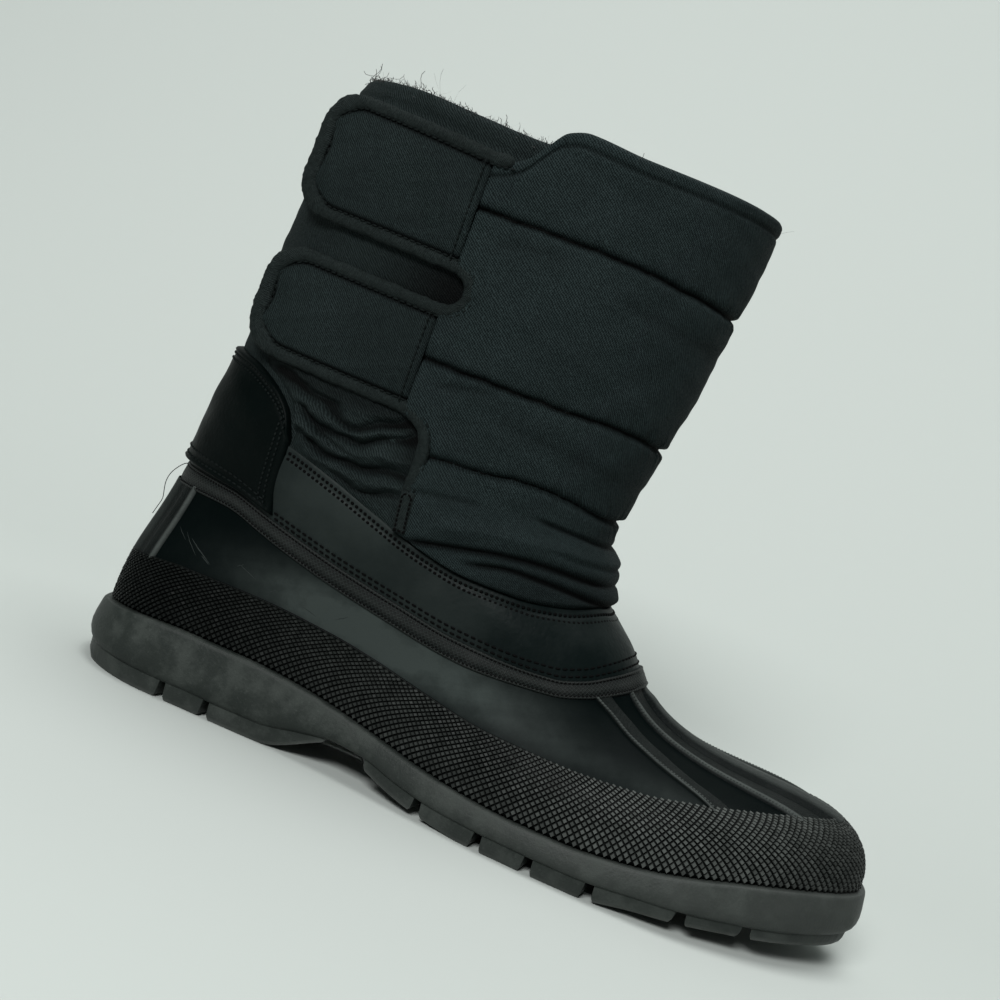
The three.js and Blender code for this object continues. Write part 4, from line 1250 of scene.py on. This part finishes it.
# ---------------------------------------------------------------- the padded leg
# Creases are a width, a depth that is below 0 for a ridge, then the line's own points: at and z.
GUSSET_CREASES = (
    (2.0, 3.0, (44, 127), (58, 123.5), (74, 122)),
    (1.7, 3.6, (68, 121.5), (79, 118), (90, 122), (103, 128)),
    (1.6, 3.8, (58, 117), (70, 113.5), (83, 114), (94, 118.5), (106, 123)),
    (1.5, 3.8, (62, 108), (74, 105.5), (84, 106), (106, 108.5)),
    (1.2, 2.6, (66, 112.5), (76, 110), (84, 109.5)),
    (1.3, 2.6, (76, 100.5), (90, 99), (106, 101)),
    (2.6, -1.8, (56, 119.5), (70, 117.5), (82, 116), (104, 124.5)),
    (2.4, -2.0, (60, 110.5), (76, 109.5), (90, 111), (106, 114)),
    (2.2, -1.6, (66, 102), (82, 102), (106, 104)),
    (2.0, -1.0, (44, 129), (60, 126), (84, 124.5), (98, 129)),
)


def collar_lean(at, z):
    """The collar is drawn in towards the calf at the back."""
    return -4.2 * step(222, 239, z) * step(75, 25, at)


# Over the collar's rolled top and down inside: how far below the top, and the stand-off.
COLLAR_ROLL = ((1.0, -0.5), (0.3, -1.2), (0.0, -2.6), (0.3, -4.2), (1.2, -5.4), (4.0, -6.0))


def shaft_shade(points):
    """Shadow on the leg's cloth behind the straps, and deepest in the notch between them."""
    at, z = at_of(points), points[..., 2]
    near = step(30, 98, at) * step(165, 168, z) * step(186, 176, z) * (points[..., 1] < 0)
    return mix(0.35, 0.95, step(172, 178, z) * step(60, 30, at) + step(60, 98, at)) * near


def shaft():
    angle = around(360)
    low, high = leg_line(angle, gaiter_top) - 4.0, leg_line(angle, collar_top)
    rows = []
    for v in np.linspace(0, 1, 104):
        z = mix(low, high - 2.0, v)
        at = at_of(leg_point(angle, z))
        soft = 0.45 * ripple(at * 0.7 + z * 0.5, 21, 4, 38) + 0.2 * ripple(z, 22, 3, 17)
        hem = -0.8 * hump(high - z - 7.5, 1.0)
        behind = np.where(np.sin(angle) > 0, step(108, 112, at), step(100, 106, at))
        out = (0.3 + soft + hem) * (1 - behind) - 0.5 * behind
        rows.append(on_leg(angle, z, out * step(-4, 3, z - low) - 0.3 + collar_lean(at, z)))
    for drop, out in COLLAR_ROLL:
        at = at_of(leg_point(angle, high - drop))
        rows.append(on_leg(angle, high - drop, out + collar_lean(at, high - drop)))
    points = np.array(rows)
    along = np.tile(np.arange(361) * TURN / 360 * LEG_RADIUS, (len(rows), 1))
    cloth = along, np.pad(points[..., 2], ((0, 0), (0, 1)), mode="wrap")
    skin = Sewing().sheet(points, ring=True, cloth=cloth, mask=shaft_shade(points))
    return skin.make("shaft_skin", leg_nylon, "shaft_nylon", ["shaft"])


def gusset():
    """The slack cloth behind the flap, gathered in pleats above the leather."""
    share, at = np.meshgrid(np.linspace(0, 1, 130), np.linspace(38, 112, 190), indexing="ij")
    z = mix(gaiter_top(at) - 1.5, 137.0, share)
    angle = leg_angle(at, z)
    sway = 1.3 * ripple(at + 0.6 * z, 71, 3, 52) + 0.5 * ripple(at * 0.5 - z, 73, 3, 13)
    folds = crease(at, z + sway, GUSSET_CREASES)
    fine = 0.5 * ripple(at * 0.35 + z * 1.1, 72, 4, 11) * step(60, 75, at)
    edge = edge_distance(on_leg(angle, z))
    hollow = 1.8 * step(92, 103, at) + 1.2 * step(116, 126, z)
    out = np.maximum(2.4 + folds + fine - hollow, 0.1) * step(0, 7, edge) + 0.35
    clear = np.maximum(step(58, 66, at), step(1, 6, z - patch_top(at)))
    out = out * clear - 0.5 * (1 - clear)
    # Painted shade: darker in the troughs of the pleats, beside the flap's bound edge and under the lower
    # strap.
    dark = np.clip(-folds / 3.6, 0, 0.8) + 0.6 * step(95, 104, at) * step(104, 118, z)
    dark += 0.55 * step(121, 127, z)
    pad = Sewing().sheet(
        skirted(on_leg, angle, z, out, -0.6), mask=bordered(dark)[0], cloth=bordered(angle * LEG_RADIUS, z)
    )
    made = pad.make("ankle_gusset", leg_nylon, "shaft_nylon", ["shaft"])
    return made


SEAMS = (
    table("at z", (110, 118.3), (126, 119.4), (147, 121.8), (172, 118.3)),
    table("at z", (95, 149.2), (140, 149.2), (166, 150), (180, 147.5)),
    table("at z", (95, 203.1), (142, 203.4), (188, 200.4)),
)
PANEL_CREASES = (
    (1.2, 2.6, (112, 88.5), (130, 92.5), (145, 95.5), (158, 96.5), (178, 95)),
    (1.0, 2.2, (134, 88.5), (150, 91.5), (162, 91), (182, 88)),
    (1.0, 1.8, (150, 111), (165, 109), (182, 105)),
    (0.9, 1.2, (158, 101.5), (168, 100.5), (182, 100)),
    (2.8, -1.4, (120, 97), (140, 101), (160, 102.5), (180, 101)),
    (1.0, 0.7, (108, 105), (116, 106.5), (132, 109)),
    (1.6, 0.7, (104, 142), (114, 144.5), (124, 146.5)),
    (3.0, 0.5, (104, 192), (116, 196), (130, 197)),
    (3.6, 0.6, (150, 191), (170, 188), (188, 186)),
    (3.0, 0.5, (130, 138), (150, 136), (182, 131)),
)


def panel_grid(rows, columns):
    """Angles, heights and distances from the heel, from the bound edge round to the panel's inner end."""
    heights = np.linspace(84, 240, rows)[:, None]
    share = np.linspace(0, 1, columns)[None, :]
    z = heights + 0 * share
    for _ in range(5):
        start = leg_angle(panel_edge(heights), z)
        end = TURN - leg_angle(PANEL_INNER_END + 0 * z, z)
        angle = mix(start, end, share)
        at = at_of(leg_point(angle, z))
        foot = gaiter_top(at) + 2 * GAP
        z = np.where(heights < 118, mix(118, foot, (118 - heights) / 34.0), heights)
        z = np.where(heights > 200, mix(200, panel_top(at), (heights - 200) / 40.0), z)
    return angle, z, at


def seam_wander(at):
    """How far a quilting seam strays from its line."""
    return 0.35 * ripple(at, 34, 4, 19)


def seam_distance(at, z):
    return np.minimum.reduce([np.abs(z - smooth(rows, "z")(at) - seam_wander(at)) for rows in SEAMS])


def panel_thickness(angle, z, at):
    """How far the quilted front stands off the leg."""
    lines = [gaiter_top(at) - 2] + [smooth(rows, "z")(at) for rows in SEAMS] + [panel_top(at) + 2.0]
    near = seam_distance(at, z)
    plump = 1 - np.exp(-((near / 1.15) ** 1.4))
    belly = 0
    for low, high in zip(lines[:-1], lines[1:]):
        s = np.clip((z - low) / (high - low), 0, 1)
        belly = belly + np.sqrt(np.clip(4 * s * (1 - s), 0, 1))
    round_leg = angle * 60
    pucker = ripple(round_leg + 0.4 * z, 31, 4, 8.5) * 1.1 * np.exp(-near / 3.6)
    soft = 0.5 * ripple(round_leg * 0.6 - z * 0.7, 32, 4, 52) + 0.25 * ripple(round_leg * 0.3 + z, 33, 3, 21)
    return 0.2 + 2.7 * plump + belly * 0.6 + pucker * plump + soft * plump + crease(at, z, PANEL_CREASES)


def front_panel():
    angle, z, at = panel_grid(270, 250)
    edge = edge_distance(on_leg(angle, z))
    out = GAP + np.maximum(0.2, panel_thickness(angle, z, at)) * rolled(edge, 1.8)
    hem = hump(panel_top(at) - z - 5.2, 0.8)
    # Painted shade: dark along the quilting seams (more so higher up), in the creases, low on the panel
    # towards the ankle, and under the hem.
    dark = mix(0.6, 1.0, step(124, 140, z)) * hump(seam_distance(at, z), 0.9)
    dark += np.clip(-crease(at, z, PANEL_CREASES) / 2.4, 0, 0.9)
    dark += 0.4 * step(101, 86, z) * step(132, 160, at) + 0.45 * hem
    skin = skirted(on_leg, angle, z, out - 0.8 * hem, TUCK)
    piece = Sewing().sheet(skin, mask=bordered(dark)[0], cloth=bordered(angle * LEG_RADIUS, z))
    made = piece.make("front_panel_skin", panel_nylon, "panel_nylon", ["front_panel"])
    return made


# The box of stitches on the tab at the foot of the bound edge: at, z and stand-off.
TAB_BOX = (
    (107.2, 91.2, 4.8), (105.7, 103.4, 4.8), (108.9, 103.4, 4.8), (110.4, 91.2, 4.8), (107.2, 91.2, 4.8),
)


def panel_seams():
    """Thread in the quilting seams, and round the tab at the foot of the bound edge."""
    rows = Sewing()
    for seam, first in zip(SEAMS, (111.0, 98.0, 98.0)):
        angle = np.linspace(leg_angle(first, 150.0), TURN - leg_angle(108.0, 150.0), 400)
        z = leg_line(angle, smooth(seam, "z"))
        at = at_of(leg_point(angle, z))
        z = z + seam_wander(at)
        stitches(rows, off_leg(angle, z, GAP + panel_thickness(angle, z, at) + 0.1), QUILT_THREAD)
    stitches(rows, leg_track(resampled(np.array(TAB_BOX), 0.8)), TAB_THREAD)
    return rows.make("panel_seams", black_thread, "panel_nylon", ["front_panel"])


def wrap_point(at, z):
    """The leg's outer side, but from STAND_OFF back the cloth is too stiff to follow it all the way."""
    at, z = np.broadcast_arrays(np.asarray(at, float), np.asarray(z, float))
    points = leg_point(leg_angle(at, z), z)
    held = np.full_like(at, STAND_OFF)
    start = leg_point(leg_angle(held, z), z)
    ahead = leg_point(leg_angle(held + 1, z), z) - start
    straight = start + ahead * (at - held)[..., None]
    points = np.where((at < STAND_OFF)[..., None], mix(points, straight, STIFFNESS), points)
    points[..., 0] = at - LENGTH / 2
    return points


def strap_spot(size, r, c):
    """The distance from the heel, height and lift of a spot on a strap; c runs from the root to the tip."""
    eased = 1 - (1 - c) ** 2
    at = mix(STRAP_ROOT, size["tip"], eased)
    middle = (size["low"] + size["high"]) / 2 + size["rise"] * eased
    turned_in = np.maximum(0, 1 - (at - size["tip"]) / size["corner"])
    half = (size["high"] - size["low"]) / 2 - size["corner"] * (1 - rounding(turned_in, 2)) * 0.92
    return at, mix(middle - half, middle + half + size["flare"] * eased, r), size["lift"] * eased**2


def off_strap(at, z, out):
    """Points at a distance from the surface that the straps lie on, and its normals."""
    return lifted(wrap_point, at, z, out, 0.3, 0.3)


def near_tip(at):
    """1 at the straps' tips, where the tape is wider and stands higher, and 0 along their edges."""
    return step(46, 33, at)


TAPE_REACH = 3.4  # how far in from a strap's edge the tape lies
ROOT_SEAM = 90.4


def strap(name, seed):
    """A padded strap: its puffed top, pressed down under the tape and along the seam at its root."""
    size = STRAPS[name]
    c, r = np.meshgrid(np.linspace(0, 1, 150), np.linspace(0, 1, 90))
    at, z, lift = strap_spot(size, r, c)
    edge = edge_distance(off_strap(at, z, 0.0)[0], joined=True)
    inland = edge - TIP_TAPE * near_tip(at)
    puff = 1.3 * step(TAPE_REACH, 5.6, inland) + 1.3 * (1 - np.exp(-np.maximum(inland - 5, 0) / 7))
    soft = 0.4 * ripple(at + 0.5 * z, seed, 4, 40) + 0.22 * ripple(z - 0.4 * at, seed + 1, 4, 19)
    root = -0.35 * hump(at - ROOT_SEAM, 0.6) - 1.1 * step(94.5, STRAP_ROOT, at)
    body = (2.0 + puff + soft * step(3, 9, edge) + root) * rolled(edge, 1.5)
    # Painted shade: a dark line along the inner edge of the tape, and at the seam near the root.
    dark = 0.95 * hump(inland - 4.1, 1.1) + 0.5 * hump(at - 95.3, 0.4)
    sewing = Sewing()
    sewing.sheet(off_strap(at, z, lift + GAP + body)[0], mask=dark, cloth=(at, z), flip=True)
    sewing.sheet(off_strap(at, z, lift + GAP)[0])
    made = sewing.make(name + "_pad", strap_nylon, "strap_nylon", [name])
    return made


def binding_path():
    """The bound edge: round the upper strap, the notch, the lower strap and down the flap to the gaiter."""
    up, down = np.linspace(0, 1, 80), np.linspace(1, 0, 80)
    notches = {"strap_upper": np.linspace(180.0, 168.4, 30), "strap_lower": np.linspace(129.4, 103.0, 40)}
    spots = [np.column_stack([np.linspace(102.4, 96, 6), np.linspace(222.6, 221.9, 6), np.full(6, 3.6)])]
    for name, notch in notches.items():
        for r, c in ((1 + 0 * up, up), (down[::4], 1 + 0 * down[::4]), (0 * down, down)):
            at, z, lift = strap_spot(STRAPS[name], r, c)
            spots.append(np.column_stack([at, z, lift + GAP + STRAP_THICK / 2 + 0.1]))
        spots.append(np.column_stack([panel_edge(notch), notch, np.full(len(notch), GAP + 1.9)]))
    return softened(resampled(np.vstack(spots), 0.8), 6)


def offset_path(path, inward):
    """A path moved in from the edge, along the cloth."""
    ahead = unit(np.gradient(path[:, :2], axis=0))
    moved = path.copy()
    moved[:, 0] -= ahead[:, 1] * inward
    moved[:, 1] += ahead[:, 0] * inward
    return moved


def leg_track(path):
    return off_strap(*path.T)


def flap_tab(sewing):
    """The folded end of the tape, sewn down over the foot of the flap."""
    across, up = np.meshgrid(np.linspace(0, 1, 14), np.linspace(0, 1, 26))
    at, z = mix(106.2, 104.6, up) + 5.2 * across, mix(90.0, 104.5, up)
    angle = leg_angle(at, z)
    out = STRAP_THICK + 1.2 * step(0.0, 0.9, edge_distance(on_leg(angle, z)))
    sewing.sheet(skirted(on_leg, angle, z, out, -0.5))


def binding():
    edge = binding_path()
    round_tip = near_tip(edge[:, 0])
    edge[:, 2] += 0.9 * round_tip
    path, normals = leg_track(offset_path(edge, 1.7 + 0.8 * round_tip))
    along = np.arange(len(path))
    ends = rolled(np.minimum(along, along[::-1]), 3)
    half_width = (2.3 + 1.0 * round_tip) * (1 + 0.2 * ripple(along * 0.8, 41, 7, 16, 0.9)) * ends
    half_height = 1.8 * (1 + 0.34 * ripple(along * 0.8, 42, 7, 11, 0.9)) * ends
    sewing = Sewing().sheet(swept(path, normals, half_width, half_height, 14), loop=True)
    flap_tab(sewing)
    return sewing.make("binding", tape, "strap_nylon", ["strap_upper", "strap_lower"])


def strap_stitches():
    """A row along the whole bound edge, and one across each strap near its root."""
    rows = Sewing()
    edge = binding_path()
    inner = offset_path(edge, 3.9 + TIP_TAPE * near_tip(edge[:, 0]))
    inner[:, 2] += 1.1
    stitches(rows, leg_track(inner), STRAP_THREAD)
    for size in STRAPS.values():
        z = np.linspace(size["low"] + 4, size["high"] - 4, 30)
        stitches(rows, leg_track(np.column_stack([np.full(30, 93.2), z, np.full(30, 4.9)])), ROOT_THREAD)
    return rows.make("strap_stitches", grey_thread, "strap_nylon", ["strap_upper"])


def hook_patches():
    """The patches under the straps that they stick to."""
    patches = Sewing()
    for low, high in ((186.0, 216.0), (136.0, 162.0)):
        at, z = np.meshgrid(np.linspace(44.0, 80.0, 50), np.linspace(low, high, 24))
        fuzz = 0.25 * np.random.default_rng(7).random(at.shape)
        patches.sheet(skirted(on_leg, leg_angle(at, z), z, 0.2 + fuzz, TUCK))
    return patches.make("hook_patches", hook_tape, "shaft_nylon", ["shaft"])


# ---------------------------------------------------------------- inside
def lining():
    """The pile lining of the leg, and on down inside the shell."""
    angle = around(220)
    leg_turn = throat_angle(angle)
    high, low = leg_line(leg_turn, collar_top) - 1.5, leg_line(leg_turn, shell_top) + 1.0
    rng = np.random.default_rng(11)
    rows = []
    for v in np.linspace(0, 1, 46):
        rough = 0.9 * rng.random(len(angle)) * step(0, 0.04, v)
        z = mix(high, low, v)
        lean = collar_lean(at_of(leg_point(leg_turn, z)), z)
        rows.append(on_leg(leg_turn, z, lean - 5.8 - rough))
    for t in np.linspace(0.98, 0.1, 20):
        rows.append(on_shell(angle, t, -4.0 - 0.7 * rng.random(len(angle))))
    pile = Sewing().sheet(np.array(rows), ring=True, flip=True)
    return pile.make("pile_lining", dark_pile, "shaft_nylon", ["shaft"])


FIBRES = 5200
LONG_FIBRES = 0.035  # the share that stands well above the collar


def fleece():
    """Loose curly fibres of the pile along the collar."""
    rng = np.random.default_rng(12)
    angle = rng.random(FIBRES) * TURN
    z = leg_line(angle, collar_top) - rng.random(FIBRES) * 2.5
    lean = collar_lean(at_of(leg_point(angle, z)), z)
    base, normal = off_leg(angle, z, lean - 1.4 - 5.0 * rng.random(FIBRES))
    length = np.where(rng.random(FIBRES) < LONG_FIBRES, 4.0, 1.1) * (0.5 + rng.random(FIBRES))
    aim = normal * rng.normal(0.2, 0.8, (FIBRES, 1)) + rng.normal(0, 0.6, (FIBRES, 3)) + [0, 0, 0.5]
    curl = rng.normal(0, 0.9, (FIBRES, 3))
    side = unit(np.cross(aim, rng.normal(0, 1, (FIBRES, 3))))
    rows = []
    for s in np.linspace(0, 1, 7):
        middle = base + (aim * s + curl * s * s * 0.4 + side * (np.sin(s * 5.5) * 0.32)) * length[:, None]
        width = side * (0.15 * (1.1 - 0.5 * s))
        rows += [middle - width, middle + width]
    faces = [(k, k + 1, k + 3, k + 2) for k in range(0, 12, 2)]
    fibres = Sewing().solid(np.stack(rows, 1), repeated(faces, FIBRES, 14))
    return fibres.make("collar_fleece", pale_fibre, "shaft_nylon", ["shaft"])


# The insole's side from its foot to its top: how far in from the sole's outline, and the rise over the sole.
INSOLE_SIDE = ((10.2, GAP), (10.2, 2.4), (10.8, 3.8), (11.8, 4.2))


def insole():
    angle = around(200)
    rings = [sole_point(angle, inset, lambda at: sole_top(at) + rise) for inset, rise in INSOLE_SIDE]
    shares = (0.02, 0.5, 0.95)
    rows = [rings[0] * [1, share, 1] for share in shares] + rings
    rows += [rings[-1] * [1, share, 1] for share in shares[::-1]]
    felt = Sewing().sheet(np.array(rows), ring=True)
    return felt.make("insole_felt", dark_pile, "insole_felt", ["insole"])


# ---------------------------------------------------------------- stage
FLOOR_REACH = 2600
FLOOR_BEND = 1000  # the radius at which the floor turns up into the wall


def stage_floor():
    rows = [(-FLOOR_REACH, 0)]
    for angle in np.linspace(0, math.pi / 2, 24):
        rows.append((150 + FLOOR_BEND * math.sin(angle), FLOOR_BEND - FLOOR_BEND * math.cos(angle)))
    rows.append((150 + FLOOR_BEND, 3000))
    x = np.linspace(-FLOOR_REACH, FLOOR_REACH, 8)
    points = np.array([[(across, y, z) for across in x] for y, z in rows], float)
    faces = Sewing().sheet(points).faces[0]
    paint, _, skin = new_material("backdrop", 0.2, rough=0.9)
    skin.inputs["Base Color"].default_value = tone(0.40, 0.432, 0.412)
    mesh = bpy.data.meshes.new("backdrop")
    mesh.from_pydata((points.reshape(-1, 3) * MM).tolist(), [], faces.tolist())
    mesh.polygons.foreach_set("use_smooth", np.ones(len(faces), bool))
    mesh.materials.append(paint)
    sweep = bpy.data.objects.new("backdrop", mesh)
    bpy.context.scene.collection.objects.link(sweep)


def lamp(name, place, aim, size, watts):
    data = bpy.data.lights.new(name, "AREA")
    data.shape = "RECTANGLE"
    data.size, data.size_y = size
    data.energy = watts
    light = bpy.data.objects.new(name, data)
    light.location = place
    light.rotation_euler = (Vector(aim) - Vector(place)).to_track_quat("-Z", "Y").to_euler()
    bpy.context.scene.collection.objects.link(light)


def lights():
    world = bpy.data.worlds.new("soft_room")
    bpy.context.scene.world = world
    world.use_nodes = True
    sky = world.node_tree.nodes["Background"]
    sky.inputs["Color"].default_value = tone(0.93, 1.0, 0.98)
    sky.inputs["Strength"].default_value = 0.16
    lamp("key", (-0.35, -2.4, 1.7), (0, 0, 0.15), (1.0, 0.8), 92)
    lamp("top", (0.2, -0.1, 2.7), (0, 0.1, 0), (1.6, 1.6), 56)


CAMERA_PLACE = (39.03, -560, 193.81)  # before the turn and the tilt
CAMERA_AIM = (-22, 0, 110)


def camera():
    """Near eye level on the outer side, leaned over so that the toe points down to the right."""
    yaw, tilt, roll = math.radians(-4), math.radians(-4), math.radians(21.015)
    turn = np.array([[math.cos(yaw), -math.sin(yaw), 0], [math.sin(yaw), math.cos(yaw), 0], [0, 0, 1]])
    nod = np.array([[1, 0, 0], [0, math.cos(tilt), -math.sin(tilt)], [0, math.sin(tilt), math.cos(tilt)]])
    back = (nod @ turn).T
    place = Vector(back @ CAMERA_PLACE)
    ahead = Vector(back @ [0, 1, 0])
    right = Vector(back @ [math.cos(roll), 0, math.sin(roll)])
    aim = (Vector(CAMERA_AIM) - place).normalized()
    right.rotate(ahead.rotation_difference(aim))
    up = right.cross(aim)
    data = bpy.data.cameras.new("camera")
    data.lens, data.sensor_width, data.clip_start, data.clip_end = 56.5, 36, 0.01, 20
    view = bpy.data.objects.new("camera", data)
    view.matrix_world = Matrix.Translation(place * MM) @ Matrix((right, up, -aim)).transposed().to_4x4()
    bpy.context.scene.collection.objects.link(view)
    bpy.context.scene.camera = view


for make_piece in (
    outsole_body, outsole_lugs, shell_skin, scuffs, foxing, foxing_studs, collar_band, band_dots,
    heel_strip, vamp_ribs, rib_beads, gaiter, gaiter_stitches, heel_patch, patch_stitches, shaft,
    hook_patches, front_panel, panel_seams, binding, strap_stitches, gusset, lining, fleece, insole,
):
    make_piece()
strap("strap_upper", 51)
strap("strap_lower", 61)
stage_floor()
lights()
camera()
bpy.context.scene.view_settings.view_transform = "Standard"
